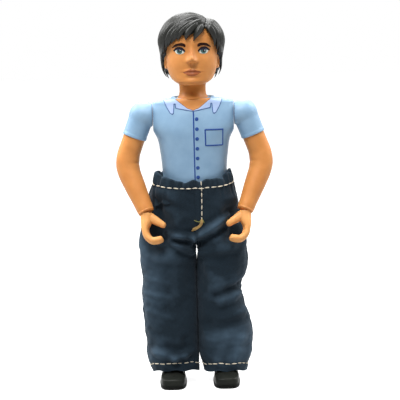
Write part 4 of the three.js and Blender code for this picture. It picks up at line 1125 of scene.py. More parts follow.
@dataclass
class Hair:
    """Sculpted hair: a fitted cap under rows of tapered locks swept from a side parting."""

    colours: Palette
    nape: float = 122.2
    top: float = 148.3
    shrink: float = 1.25
    power: float = 2.1
    middle: tuple = (0.0, 0.5, 136.0)
    steps: int = 34
    ribs: int = 11
    seed: int = 11
    outline: Profile = Profile(
        (0, 9.6, 1, 10.36), (0.1, 11.7, 3, 11.9), (0.2, 13.0, 5.4, 12.8), (0.3, 13.4, 7.74, 13.37),
        (0.5, 13.75, 12.26, 14), (0.66, 13.5, 12.9, 14), (0.8, 11.88, 11.87, 12.74), (0.91, 8.98, 9.03, 9.8),
        (0.97, 5.68, 5.8, 6.3), (1, 1.98, 1.94, 2.1))
    hairline: Profile = Profile(
        (0, 144.2), (28, 144.8), (45, 142.2), (60, 137.8), (72, 134.8), (84, 134.0), (94, 133.2),
        (104, 130), (116, 126.4), (135, 124.2), (180, 123))

    def section(self, z: Array, turn: Array) -> Array:
        """Points of the hair's rounded form.

        Args:
            z: heights, rows by angles.
            turn: angles of the columns, 0 at the front and growing towards +X.

        Returns:
            Points, rows by angles by three.
        """
        half, front, back = self.outline.at((z - self.nape) / (self.top - self.nape))
        half, front, back = half - self.shrink, front - self.shrink, back - self.shrink
        squared = np.where(np.cos(turn) < 0, mix(3.0, self.power, ease(z, 127.0, 136.0)), self.power)
        x = half * powered(np.sin(turn), 2 / squared)
        y = (back - front) / 2 - (back + front) / 2 * powered(np.cos(turn), 2 / self.power)
        return np.dstack([x, y, z])

    def form(self) -> Shape:
        """The whole rounded form, that locks are laid on.

        Returns:
            Points and faces.
        """
        turn = turns(96)
        z = np.linspace(self.nape, self.top, 80)[:, None] * np.ones_like(turn)
        return skin(self.section(z, turn))

    def cap(self) -> Shape:
        """The cap under the locks, down to the hairline, its edge turned in to the scalp.

        Returns:
            Points and faces.
        """
        turn = np.linspace(-math.pi, math.pi, 160, endpoint=False)
        low = self.hairline.at(np.abs(np.degrees(turn)))[0]
        share = np.linspace(0, 1, 60)[:, None]
        z = self.top - (self.top - low[None]) * share ** 1.35
        rings = self.section(z, turn)
        inner = rings[-1] * (0.8, 0.8, 1.0) + (0, 0.1, 0.6)
        halfway = rings[-1] * (0.93, 0.93, 1.0) + (0, 0, -0.1)
        return skin(np.concatenate([rings, halfway[None], inner[None]]), Ends.FIRST)

    def rows(self) -> list[LockRow]:
        """The rows of locks, with a short and a long side to the parting.

        Returns:
            The rows, from the underneath ones to those on top.
        """
        nape = LockRow([(-1.5, 6, 148), (0, 6.8, 148), (1.5, 6.5, 148), (3, 6, 148)],
                       [(-12, 7, 138), (-5, 13.5, 138), (5, 13.5, 138), (12, 7, 138)],
                       [(-10.6, 4.8, 124.4), (-4, 11, 122.9), (4, 11, 122.9), (10.6, 4.8, 124.4)],
                       13, 2.4, 1.15, 0.15, 0.2)
        crown = LockRow([(0, 5.5, 149), (1.5, 6, 149), (3, 5.8, 149)],
                        [(-9, 10, 143), (0, 13, 143), (9, 10, 143)],
                        [(-11.5, 6.5, 131.5), (0, 14, 130.5), (11.5, 6.5, 131.5)],
                        9, 2.6, 1.2, 0.45, 0.1)
        short = LockRow([(7.2, -8.6, 146), (7.2, -5, 147.4), (6.8, 0.5, 148), (4.8, 5.2, 148.6)],
                        [(9.9, -8.8, 142.8), (11.2, -5.6, 143.3), (12, -0.5, 143.1), (11.8, 5, 142.4)],
                        [(10.3, -7.6, 136.2), (11.7, -4.6, 133.3), (12.3, -0.8, 132.9), (12.7, 4.2, 127.4)],
                        8, 2.0, 1.15, 0.1, 0.7)
        long = LockRow([(5.6, -8.5, 146.4), (5.8, -5, 147.6), (5.6, -2, 148.4), (4.8, 2, 148.8),
                        (2.8, 5.4, 149)],
                       [(-3.5, -11.3, 144), (-8.4, -8, 143.6), (-10.8, -4, 143), (-12, 1, 142.5),
                        (-11, 6.5, 142)],
                       [(-8.6, -9.6, 138.0), (-10.6, -6.6, 135.0), (-11.7, -4.2, 133.3), (-12.5, -0.4, 132.6),
                        (-12.5, 4.4, 127.4)],
                       9, 2.3, 1.2, 0.1, 0.7)
        fringe = LockRow([(5.2, -9.4, 146), (4.4, -8.6, 147), (3.2, -7.4, 147.8)],
                         [(2.4, -12.2, 142.9), (-1.2, -12.4, 143.4), (-5.4, -11.2, 144)],
                         [(1.0, -12.6, 138.9), (-3.6, -12.4, 139.6), (-8.4, -10.2, 138.4)],
                         4, 1.9, 1.25, 0.25, 0.8, 0.1)
        over_long = LockRow([(6.1, -7.6, 146.8), (6.4, -4, 147.8), (6, 0.5, 148.4), (4, 4.4, 148.9)],
                            [(0.6, -10.6, 146), (-4.4, -8.4, 146.6), (-7.8, -3, 146.8), (-8, 3.5, 146.6)],
                            [(-4.6, -12, 141.6), (-9.6, -8.6, 140), (-12, -3, 138.5), (-12.2, 4.5, 137)],
                            6, 2.3, 1.2, 0.45, 0.1)
        over_short = LockRow([(6.8, -7.5, 146.8), (7.1, -1.5, 147.6), (5.4, 3.8, 148.4)],
                             [(9.2, -7, 145.2), (10, -1, 145.6), (9.2, 4.6, 145.8)],
                             [(11.2, -6.6, 139.8), (12.5, -1, 139), (12, 5, 138)],
                             4, 2.1, 0.9, 0.0, 0.1)
        return [nape, crown, short, long, fringe, over_long, over_short]

    def lock(self, surface: Surface, row: LockRow, share: float, chance: np.random.Generator) -> Shape:
        """One tapered lock with strand ridges along it.

        Args:
            surface: the form that the lock lies on.
            row: the row that it belongs to.
            share: its place along the row, from 0 to 1.
            chance: the seeded source of small differences.

        Returns:
            Points and faces.
        """
        place = int(round(100 * share))
        root, bend, tip = (curve_through(points, 101)[place] for points in (row.roots, row.bends, row.tips))
        tip = tip + chance.normal(0, 0.35, 3)
        bend = bend + chance.normal(0, 0.3, 3)
        guide = bow(root, 2 * bend - (root + tip) / 2, tip, self.steps)
        middle = np.array(self.middle)
        laid = [surface.nearest(spot, middle) for spot in guide]
        path = np.array([spot for spot, _ in laid])
        normals = np.array([normal for _, normal in laid])
        along = unit(np.gradient(path, axis=0))
        aside = unit(np.cross(normals, along))
        t = np.linspace(0, 1, self.steps)
        size = chance.uniform(0.85, 1.2)
        width = row.width * size * (0.5 + 0.5 * np.sin(math.pi * t ** 0.75)) * (1 - t ** 2.8) ** 0.75 + 0.04
        height = row.height * chance.uniform(0.85, 1.2) * (0.45 + 0.55 * np.sin(math.pi * t ** 0.6) ** 0.8)
        height *= (1 - t ** 3) ** 0.5
        lift = row.lift + chance.uniform(0, row.stagger) - row.tuck * ease(t, 0.62, 1.0)
        lift = lift - 0.5 * (1 - ease(t, 0.0, 0.22))
        section = np.linspace(-1, 1, self.ribs)
        crown = (1 - np.abs(section) ** 1.8) ** 0.85 * (1 + 0.1 * np.cos(3.1 * math.pi * section))
        wide = section[None] * width[:, None]
        upper = (path + normals * lift[:, None])[:, None] + aside[:, None] * wide[..., None]
        upper = upper + normals[:, None] * (height[:, None] * crown[None])[..., None]
        upper = upper - normals[:, None] * (0.35 * width[:, None] * section[None] ** 2)[..., None]
        under = lift - 0.9 * (1 - t ** 4) - 0.03
        narrow = section[None, ::-1][:, 2:-2] * width[:, None] * 0.9
        lower = (path + normals * under[:, None])[:, None] + aside[:, None] * narrow[..., None]
        return skin(np.concatenate([upper, lower], axis=1))

    def build(self) -> None:
        """Make the hair as one piece, with strand directions for its finish."""
        surface = Surface(self.form())
        chance = np.random.default_rng(self.seed)
        ring = 2 * self.ribs - 4
        shapes, marks = [self.cap()], []
        cap_points = shapes[0][0]
        turn = np.arctan2(cap_points[:, 0], -cap_points[:, 1])
        # The cap gets the lowest tone of all: painted shade in the gaps between the locks.
        marks.append(np.column_stack([turn * 4, cap_points[:, 2] * 0.1, np.full(len(turn), 0.05)]))
        for row in self.rows():
            for k in range(row.count):
                share = np.clip((k + chance.uniform(-0.2, 0.2)) / (row.count - 1), 0, 1)
                shape = self.lock(surface, row, share, chance)
                rung = np.arange(len(shape[0]))
                tone = chance.uniform(0.0, 0.4)
                marks.append(np.column_stack([(rung % ring) * 0.35 + 10 * k, (rung // ring) * 0.1,
                                              np.full(len(rung), tone)]))
                shapes.append(shape)
        piece = make_piece("hair_locks", together(*shapes), self.colours.hair)
        note(piece.data, "lock", np.vstack(marks))
        settle(piece, "head", "hair", "hair")


@dataclass
class Torso:
    """Two-part shirt body with a moulded collar, printed lines and the neck post."""

    colours: Palette
    floor: float = 66.5
    collar: float = 116.3
    flat: float = 16.1
    power: float = 2.3
    parting: float = 0.15
    outline: Profile = Profile(
        (66.5, 11.4, 7.8, 8.2), (72.05, 12.2, 8.2, 8.2), (85, 12.8, 8.2, 7.8), (94.88, 13.65, 8.98, 8.2),
        (99.82, 14.5, 9.4, 8.5), (104.76, 16.7, 9.4, 8.7), (109.7, 17.2, 8.6, 8.5), (113.66, 17.0, 7.4, 7.4),
        (114.75, 16.3, 7.2, 7.2), (115.6, 14.0, 7.0, 7.0), (116.3, 8.3, 6.7, 6.7))
    button_x: float = 1.3
    button_rows: tuple = (108.2, 104.3, 100.4, 96.5, 92.6, 88.8, 85.0)
    columns: int = 171
    leaf: tuple = ((11.6, 115.7), (10.5, 113.1), (9.1, 110.7), (8.14, 110.1), (7.75, 110.9), (7.6, 112.6),
                   (7.5, 114.2), (7.0, 114.25), (6.85, 112.65), (6.1, 112.4), (4.5, 112.1), (2.4, 111.65),
                   (0.1, 111.3))
    neckline: tuple = ((7.0, 116.1), (6.1, 115.5), (4.3, 114.0), (2.2, 112.4), (0, 111.6))

    def raised(self, x: Array, z: Array) -> Array:
        """How far places seen from the front lie on the collar leaves.

        Args:
            x: the places from side to side.
            z: their heights.

        Returns:
            Shares from 0 beside the leaves to 1 on them.
        """
        outline = np.array([*self.leaf, *self.neckline[::-1]])
        spots = np.column_stack([np.abs(x).ravel(), z.ravel()])
        edges = zip(outline, np.roll(outline, -1, axis=0))
        distance = np.min([gap_to_line(spots, start, end) for start, end in edges], axis=0)
        signed = np.where(inside_of(outline, spots), distance, -distance).reshape(x.shape)
        return ease(signed, -0.12, 0.22)

    def chest(self, x: Array, z: Array) -> Array:
        """How far the chest stands out from the plain form."""
        swell = 0.3 * bell(np.abs(x) - 6.5, 4.5) * bell(z - 102.5, 4.5)
        return swell - 0.12 * bell(x, 3.0) * bell(z - 101, 8)

    @staticmethod
    def half_turn(facing: int, count: int) -> Array:
        """Angles of so many columns of the front half, at -1, or the back half, at 1."""
        turn = np.linspace(-math.pi / 2, math.pi / 2, count)
        return turn if facing < 0 else turn + math.pi

    def parted(self, y: Array, facing: int) -> Array:
        """Depths kept on their own side of the parting between the halves."""
        return np.minimum(y, -self.parting) if facing < 0 else np.maximum(y, self.parting)

    def half(self, facing: int) -> Shape:
        """One half shell, closed along the side seams.

        Args:
            facing: -1 for the front half, 1 for the back half.

        Returns:
            Points and faces.
        """
        z = np.concatenate([np.linspace(self.floor, 108, 90), np.linspace(108.2, self.collar, 60)])
        half, front, back = self.outline.at(z)
        x, y = oval(half, front, back, self.power, self.half_turn(facing, self.columns))
        height = np.broadcast_to(z[:, None], x.shape)
        if facing < 0:
            y = y - (self.chest(x, height) + 0.24 * self.raised(x, height)) * ease(-y, 3.0, 5.5)
        x = np.clip(x, -self.flat, self.flat)
        column = np.arange(self.columns)
        x = x * (1 - 0.006 * (np.minimum(column, column[::-1]) < 2))
        return skin(np.dstack([x, self.parted(y, facing), height]))

    def collar_stand(self, facing: int) -> Shape:
        """The low stand of the collar round the neck on one half.

        Args:
            facing: -1 for the front half, 1 for the back half.

        Returns:
            Points and faces.
        """
        section = [(8.75, 114.2), (8.75, 115.8), (8.6, 116.6), (8.3, 116.85), (7.9, 116.8), (7.55, 116.4),
                   (7.5, 115.6)]
        profile = curve_through(section, 22)
        spans = [(50, 88.9), (-88.9, -50)] if facing < 0 else [(91.1, 268.9)]
        shapes = []
        for low, high in spans:
            turn = np.radians(np.linspace(low, high, 70 if facing > 0 else 22))[:, None]
            ends = ease(np.degrees(turn) * np.sign(low + high), 50, 66) if facing < 0 else np.ones_like(turn)
            radius = profile[None, :, 0] * np.ones_like(turn)
            height = 114.2 + (profile[None, :, 1] - 114.2) * mix(0.72, 1.0, ends)
            rings = np.dstack([radius * np.sin(turn), -radius * np.cos(turn) * 0.86, height])
            shapes.append(skin(rings))
        return together(*shapes)

    def neck(self) -> Shape:
        """The neck post, flared where it meets the shirt.

        Returns:
            Points and faces.
        """
        z = np.concatenate([np.linspace(115.2, 122.4, 60), np.linspace(122.7, 128.5, 24)])
        half, deep = Profile(
            (115.2, 6.2, 6.5), (115.7, 6.3, 6.95), (115.95, 6.3, 7.3), (116.35, 6.15, 7.3),
            (116.7, 5.9, 7.05), (117.45, 5.5, 6.37), (118.43, 5.3, 5.72), (119.65, 5.25, 5.35),
            (121.4, 5.35, 5.35), (122.4, 5.6, 5.35), (124.6, 5.6, 5.35), (125.2, 4.2, 4.2),
            (128.5, 3.6, 3.6)).at(z)
        return skin(stacked(*oval(half, deep, deep, 2.0, turns(96)), z))

    def pelvis(self, facing: int) -> Shape:
        """Half of the narrow block between the hip barrels, hidden in the jeans.

        Args:
            facing: -1 for the front half, 1 for the back half.

        Returns:
            Points and faces.
        """
        z = np.linspace(56.45, self.floor + 1, 20)
        reach = np.minimum(3.5, np.sqrt(np.maximum(3.55 ** 2 - np.minimum(z - 60, 0) ** 2, 0.2)))
        x, y = oval(np.full_like(z, 2.1), reach, reach, 4.0, self.half_turn(facing, 41))
        return skin(stacked(x, self.parted(y, facing), z))

    @staticmethod
    def mirrored(line: tuple) -> list[list[Flat]]:
        """A line on the left side, and the same on the right."""
        return [[(side * x, z) for x, z in line] for side in SIDES]

    def build(self, drawing: PathTool) -> None:
        """Make the shirt body, neck, printed lines and buttons.

        Args:
            drawing: the tool for printed lines.
        """
        front = self.half(-1)
        shapes = {"shirt_front": (-1, front, "torso_front"), "shirt_back": (1, self.half(1), "torso_back")}
        for name, (facing, half, node) in shapes.items():
            shape = together(half, self.collar_stand(facing), self.pelvis(facing))
            piece = make_piece(name, shape, self.colours.collar)
            # Share of the paler collar colour on the front collar leaves: painted light.
            leaf = self.raised(shape[0][:, 0], shape[0][:, 2]) * (shape[0][:, 1] < -2)
            note(piece.data, "painted_light_share", leaf)
            settle(piece, "torso", "shirt", node)
        settle(make_piece("neck_post", self.neck(), self.colours.neck), "torso", "skin", "neck")
        printer = Printer(Surface(front))
        opening = [*self.neckline, *[(-x, z) for x, z in self.neckline[-2::-1]]]
        opening += [(-4, 116.25), (0, 116.2), (4, 116.25)]
        chest = make_piece("open_neck", printer.patch(np.array(opening), 0.07), self.colours.skin)
        settle(chest, "torso", "skin")
        prints = {
            "neck_edge": (self.colours.collar_edge, 0.32, 0.06, self.mirrored(self.neckline)),
            "collar_lines": (self.colours.navy, 0.38, 0.1, self.mirrored(self.leaf)),
            "placket_lines": (self.colours.navy, 0.64, 0.12, [
                [(0.1, 111.2), (0.05, 100), (0.1, 82)],
                [(4.55, 104.0), (4.6, 97.65), (11.4, 97.55), (11.55, 103.8)]]),
            "pocket_top": (self.colours.navy, 0.8, 0.2, [[(4.4, 104.0), (11.7, 103.85)]]),
        }
        for name, (ink, thickness, sink, lines) in prints.items():
            paths = [printer.line(line, sink) for line in lines]
            settle(drawing.make(name, paths, ink, Thickness=thickness), "torso", "shirt")
        turn = turns(28)
        dot = np.column_stack([np.cos(turn), np.sin(turn)]) * 0.74
        dots = [printer.patch(dot + (self.button_x, z), 0.09) for z in self.button_rows]
        settle(make_piece("shirt_buttons", together(*dots), self.colours.navy), "torso", "shirt")


@dataclass
class Arm:
    """One bent arm with its short sleeve."""

    colours: Palette
    side: int
    seam: float = 16.4
    shoulder: tuple = (20.25, 0.0, 110.3)
    elbow: tuple = (27.9, 0.0, 90.3)
    wrist: tuple = WRIST
    bend: float = 6.0
    ball: tuple = (19.28, 0.0, 109.7)
    ball_size: tuple = (6.3, 5.45, 5.0)
    sleeve: float = 9.8
    top_radius: float = 4.95
    hem_radius: float = 4.78
    sleeve_columns: int = 88
    limb_columns: int = 80

    def path(self) -> Array:
        """Middle line of the arm, rounded at the elbow.

        Returns:
            Points of the line.
        """
        start, corner, end = (np.array(p) for p in (self.shoulder, self.elbow, self.wrist))
        first = corner - unit(corner - start) * self.bend
        last = corner + unit(end - corner) * self.bend
        straight = start + (first - start) * np.linspace(0, 1, 120)[:, None]
        lower = last + (end - last) * np.linspace(0, 1, 120)[:, None]
        return np.vstack([straight[:-1], bow(first, corner, last, 60), lower[1:]])

    @staticmethod
    def spokes(path: Array, count: int) -> tuple[Array, Array]:
        """Directions along a path and round it.

        Args:
            path: points of the middle line.
            count: how many spokes stand round each, from the outer side towards the back.

        Returns:
            Unit directions along the path, and those of the spokes by point and number.
        """
        along = unit(np.gradient(path, axis=0))
        back = unit(np.array([0.0, 1.0, 0.0]) - along * along[:, 1:2])
        out = np.cross(along, back)
        turn = turns(count)[:, None]
        return along, np.cos(turn) * out[:, None] + np.sin(turn) * back[:, None]

    def reach(self, start: Array, ray: Array, least: float) -> Array:
        """Distance from the middle line out to the sleeve, which swells over the shoulder ball.

        Args:
            start: a point on the middle line.
            ray: unit directions.
            least: the sleeve's own radius.

        Returns:
            Distances.
        """
        size = np.array(self.ball_size)
        from_ball = (start - np.array(self.ball)) / size
        scaled = ray / size
        a = (scaled ** 2).sum(-1)
        b = (from_ball * scaled).sum(-1)
        c = (from_ball ** 2).sum(-1) - 1
        inside = b ** 2 - a * c
        ball = np.where(inside > 0, (-b + np.sqrt(np.maximum(inside, 0))) / a, 0)
        blend = 0.7
        gap = np.clip(0.5 + 0.5 * (ball - least) / blend, 0, 1)
        return mix(least, ball, gap) + blend * gap * (1 - gap)

    def sleeve_shape(self) -> Shape:
        """The sleeve with the round of the shoulder, its hem turned in.

        Returns:
            Points and faces.
        """
        path = self.path()
        along, rays = self.spokes(path, self.sleeve_columns)
        steps = travelled(path)
        rings = []
        for lean in np.linspace(88, 2, 26):
            ray = rays[0] * math.cos(math.radians(lean)) - along[0] * math.sin(math.radians(lean))
            rings.append(path[0] + ray * self.reach(path[0], ray, self.top_radius)[:, None])
        for where in np.linspace(0, self.sleeve, 44):
            k = int(np.searchsorted(steps, where))
            radius = mix(self.top_radius, self.hem_radius, where / self.sleeve) + 0.1 * ease(where, 8.6, 9.0)
            rings.append(path[k] + rays[k] * self.reach(path[k], rays[k], radius)[:, None])
        k = int(np.searchsorted(steps, self.sleeve))
        for radius, ahead in ((4.82, 0.12), (4.65, 0.2), (4.3, 0.16), (4.0, -0.6)):
            rings.append(path[k] + along[k] * ahead + rays[k] * radius)
        shape = np.array(rings)
        shape[..., 0] = np.maximum(shape[..., 0], self.seam)
        return skin(shape * (self.side, 1, 1))

    def limb_shape(self) -> Shape:
        """The bare arm from inside the sleeve to the wrist.

        Returns:
            Points and faces.
        """
        path = self.path()
        _, rays = self.spokes(path, self.limb_columns)
        steps = travelled(path)
        total = steps[-1]
        elbow = np.linalg.norm(np.array(self.elbow) - np.array(self.shoulder))
        size = Profile((0, 4.3), (9, 4.4), (15, 4.45), (elbow - 1, 4.68), (elbow + 5, 4.45),
                       (elbow + 10, 4.15), (total - 4, 3.5), (total - 1.0, 3.3), (total - 0.3, 3.15),
                       (total, 2.8))
        turn = turns(self.limb_columns)[:, None]
        rings = []
        for where in np.concatenate([np.linspace(8, total - 1, 120), np.linspace(total - 0.8, total, 10)]):
            k = min(int(np.searchsorted(steps, where)), len(path) - 1)
            bone = 0.22 * bell(where - elbow - 0.5, 2.2) * bell(turn - 0.6, 0.7)
            crease = -0.2 * bell(where - elbow, 1.1) * bell(turn - math.pi - 0.5, 0.8)
            rings.append(path[k] + rays[k] * (size.at(where)[0] + bone + crease))
        return skin(np.array(rings) * (self.side, 1, 1))

    def build(self) -> None:
        """Make the sleeve and the limb."""
        name = SIDE_NAMES[self.side]
        limb = make_piece(f"{name}_bare_arm", self.limb_shape(), self.colours.skin)
        settle(limb, f"{name}_arm", "skin", f"{name}_arm")
        sleeve = make_piece(f"{name}_sleeve", self.sleeve_shape(), self.colours.shirt)
        settle(sleeve, f"{name}_arm", "shirt")


@dataclass
class Hand:
    """One gripping hand: fingers curled together round a bar, a thumb against them."""

    colours: Palette
    side: int
    wrist: tuple = WRIST
    up: tuple = (0.3735, 0.36, 0.8549)
    back: tuple = (-0.1441, 0.933, -0.3299)
    out: tuple = (0.9163, 0.0, -0.4003)
    fingers: tuple = ((0, 0.3), (1.35, 3.02), (2.98, 5.71), (3.48, 8.83), (2.34, 11.35), (-0.07, 12.23),
                      (-1.49, 12.3))
    thumb: tuple = ((-0.2, 1.68), (-1.95, 4.37), (-3.62, 6.72), (-4.62, 8.4))
    finger_sizes: Profile = Profile(
        (0, 2.6, 2.45), (0.12, 2.45, 2.5), (0.26, 2.05, 2.7), (0.42, 1.45, 2.9), (0.56, 1.45, 2.9),
        (0.7, 1.45, 2.85), (0.82, 1.45, 2.75), (0.93, 1.38, 2.5), (0.98, 1.09, 2.1), (1, 0.5, 1.3))
    thumb_sizes: Profile = Profile(
        (0, 1.9, 1.9), (0.4, 1.7, 1.75), (0.7, 1.4, 1.6), (0.9, 1.15, 1.35), (0.97, 0.8, 1.0), (1, 0.3, 0.45))

    def sweep(self, line: tuple, sizes: Profile, grooves: float) -> Shape:
        """A finger form along a line in the hand's own plane.

        Args:
            line: outward and downward places along its middle.
            sizes: half thickness and half breadth by share of its length.
            grooves: depth of the grooves between fingers.

        Returns:
            Points and faces in the hand's own frame.
        """
        flat = curve_through(line, 90)
        path = np.column_stack([flat[:, 0], np.zeros(90), -flat[:, 1]])
        along = unit(np.gradient(path, axis=0))
        aside = np.cross(along, np.array([0.0, 1.0, 0.0]))
        share = np.linspace(0, 1, 90)
        thick, broad = sizes.at(share)
        turn = turns(72)[None]
        depth = broad[:, None] * powered(np.sin(turn), 0.85)
        rise = thick[:, None] * powered(np.cos(turn), 0.85)
        between = sum(bell(depth - gap, 0.3) for gap in (-1.4, 0.0, 1.4))
        rise = rise - np.sign(rise) * grooves * between * ease(share, 0.36, 0.5)[:, None]
        reach = (grooves > 0) * 0.5 * np.cos(depth / 2.9 * 1.7) * ease(share, 0.85, 1.0)[:, None]
        points = path[:, None] + aside[:, None] * rise[..., None] + along[:, None] * reach[..., None]
        points[..., 1] += depth
        return skin(points)

    def build(self) -> None:
        """Make the hand as one closed, softened form."""
        name = SIDE_NAMES[self.side]
        fingers = self.sweep(self.fingers, self.finger_sizes, 0.26)
        thumb = self.sweep(self.thumb, self.thumb_sizes, 0.0)
        peg_z = np.linspace(-1.5, 3.0, 12)
        radius = np.full_like(peg_z, 1.6)
        peg = skin(stacked(*oval(radius, radius, radius, 2.0, turns(48)), peg_z))
        points, faces = together(fingers, thumb, peg)
        rough = bpy.data.meshes.new("hand_rough")
        rough.from_pydata(points.tolist(), [], faces)
        body = add_object("hand_rough", rough)
        fuse = body.modifiers.new("fuse", "REMESH")
        fuse.mode = "VOXEL"
        fuse.voxel_size = 0.13
        soften = body.modifiers.new("soften", "SMOOTH")
        soften.factor = 0.5
        soften.iterations = 5
        fused = bpy.data.meshes.new_from_object(body.evaluated_get(bpy.context.evaluated_depsgraph_get()))
        place = np.array([self.out, self.back, self.up])
        smooth = np.array([v.co for v in fused.vertices]) @ place + np.array(self.wrist)
        shape = (smooth * (self.side, 1, 1), [list(p.vertices) for p in fused.polygons])
        bpy.data.objects.remove(body)
        hand = make_piece(f"{name}_grip_hand", shape, self.colours.hand)
        settle(hand, f"{name}_hand", "skin", f"{name}_hand")


@dataclass
class Shoe:
    """One black moulded shoe on its sole."""

    colours: Palette
    side: int
    x: float = 10.8
    sole_rows: Profile = Profile(
        (0, 5.05, 14.7, 7.1, 3.6), (0.12, 5.28, 14.93, 7.33, 3.6), (0.4, 5.36, 15, 7.4, 3.6),
        (0.75, 5.3, 14.95, 7.35, 3.6), (0.85, 5.18, 14.83, 7.23, 3.6), (0.95, 5.3, 14.95, 7.35, 3.6),
        (1.25, 5.36, 15, 7.4, 3.6), (1.45, 5.25, 14.9, 7.3, 3.6), (1.5, 4.9, 14.5, 6.9, 3.6))
    upper_rows: Profile = Profile(
        (1.3, 5.1, 14.75, 7.15, 4.2), (2.2, 5.15, 14.85, 7.2, 4.2), (3.4, 5.05, 14.7, 7.05, 4.2),
        (3.95, 4.92, 14.5, 6.95, 4.0), (4.25, 4.65, 14.0, 6.88, 3.8), (4.5, 4.3, 12.9, 6.8, 3.2),
        (5.24, 4.0, 8.9, 6.7, 2.7), (6.35, 4.05, 6.3, 6.4, 2.4), (7.6, 4.2, 4.6, 5.9, 2.1),
        (8.0, 4.32, 4.42, 5.82, 2.1), (8.25, 4.2, 4.3, 5.7, 2.1))

    def loft(self, rows: Profile, low: float, high: float, count: int) -> Array:
        """Rings of a part of the shoe between two heights.

        Args:
            rows: half width, toe, heel and squareness by height.
            low: height of the first ring.
            high: height of the last ring.
            count: how many rings.

        Returns:
            Points, rows by columns by three.
        """
        z = np.linspace(low, high, count)
        half, toe, heel, power = rows.at(z)
        x, y = oval(half, toe, heel, power[:, None], turns(120))
        narrow = 1 - 0.14 * ease(y, -7.0, 7.0)
        return stacked(self.side * self.x + x * narrow, y, z)

    def build(self) -> None:
        """Make the upper and the sole."""
        name = SIDE_NAMES[self.side]
        upper = self.loft(self.upper_rows, 1.3, 8.25, 90)
        toe_line = -0.14 * bell(upper[..., 1] + 8.6, 0.3) * ease(upper[..., 2], 1.6, 2.2)
        rim = 0.12 * bell(upper[..., 2] - 7.9, 0.35)
        centre = np.array([self.side * self.x, 0.0])
        ray = unit(upper[..., :2] - centre)
        upper[..., :2] += ray * (toe_line + rim)[..., None]
        upper[..., 2] += 0.6 * toe_line
        inner = upper[-1].copy()
        inner[:, :2] = centre + (inner[:, :2] - centre) * 0.86
        sunk = inner - (0, 0, 1.5)
        shape = skin(np.concatenate([upper, inner[None], sunk[None]]))
        settle(make_piece(f"{name}_shoe_upper", shape, self.colours.shoe), f"{name}_shin", "shoe",
               f"{name}_shoe")
        sole = skin(self.loft(self.sole_rows, 0, 1.5, 60))
        settle(make_piece(f"{name}_shoe_sole", sole, self.colours.sole), f"{name}_shin", "shoe")


@dataclass(frozen=True)
class Fold:
    """A ridge or valley in the cloth along a line, as seen from in front or behind."""

    start: Flat
    end: Flat
    width: float
    height: float
    face: Face = Face.FRONT

    def rise(self, points: Array) -> Array:
        """Height of the fold.

        Args:
            points: points of the cloth, rows by columns by three.

        Returns:
            One height for each point.
        """
        gap = gap_to_line(points[..., [0, 2]], self.start, self.end)
        shown = ease(points[..., 1] * self.face.value, 0.5, 4.0)
        dips = bell(gap - 1.9 * self.width, 0.8 * self.width)
        return self.height * (bell(gap, self.width) - 0.3 * dips) * shown


@dataclass(frozen=True)
class FadeAndPaintedLight:
    """A part of the cloth painted paler than the rest by a positive amount, and darker by a negative one:
    painted light and painted shade.
    """

    middle: Flat
    reach: Flat
    amount: float
    face: Face = Face.FRONT

    def share(self, points: Array) -> Array:
        """How much paler the cloth is.

        Args:
            points: points of the cloth, rows by columns by three.

        Returns:
            One amount for each point.
        """
        across = (points[..., 0] - self.middle[0]) / self.reach[0]
        up = (points[..., 2] - self.middle[1]) / self.reach[1]
        shown = ease(points[..., 1] * self.face.value, -3.0, 3.0)
        return self.amount * np.exp(-across ** 2 - up ** 2) * shown


@dataclass(frozen=True)
class LegCut:
    """How far one side of the jeans reaches at each level, and how its hem hangs."""

    waist: float
    hip: float
    crotch: float
    thigh: float
    knee: float
    calf: float
    hem: float
    parting: float
    hem_lift: float


@dataclass
class Cloth:
    """Arrays of a length of cloth: its grid, and what its points and faces hold."""

    grid: Array
    points: Array
    faces: Array
    normals: Array
    wear_and_painted_light: Array
    threads: Array

    def shape(self) -> Shape:
        """Points and faces, as plain pieces have them."""
        return self.points, self.faces.tolist()


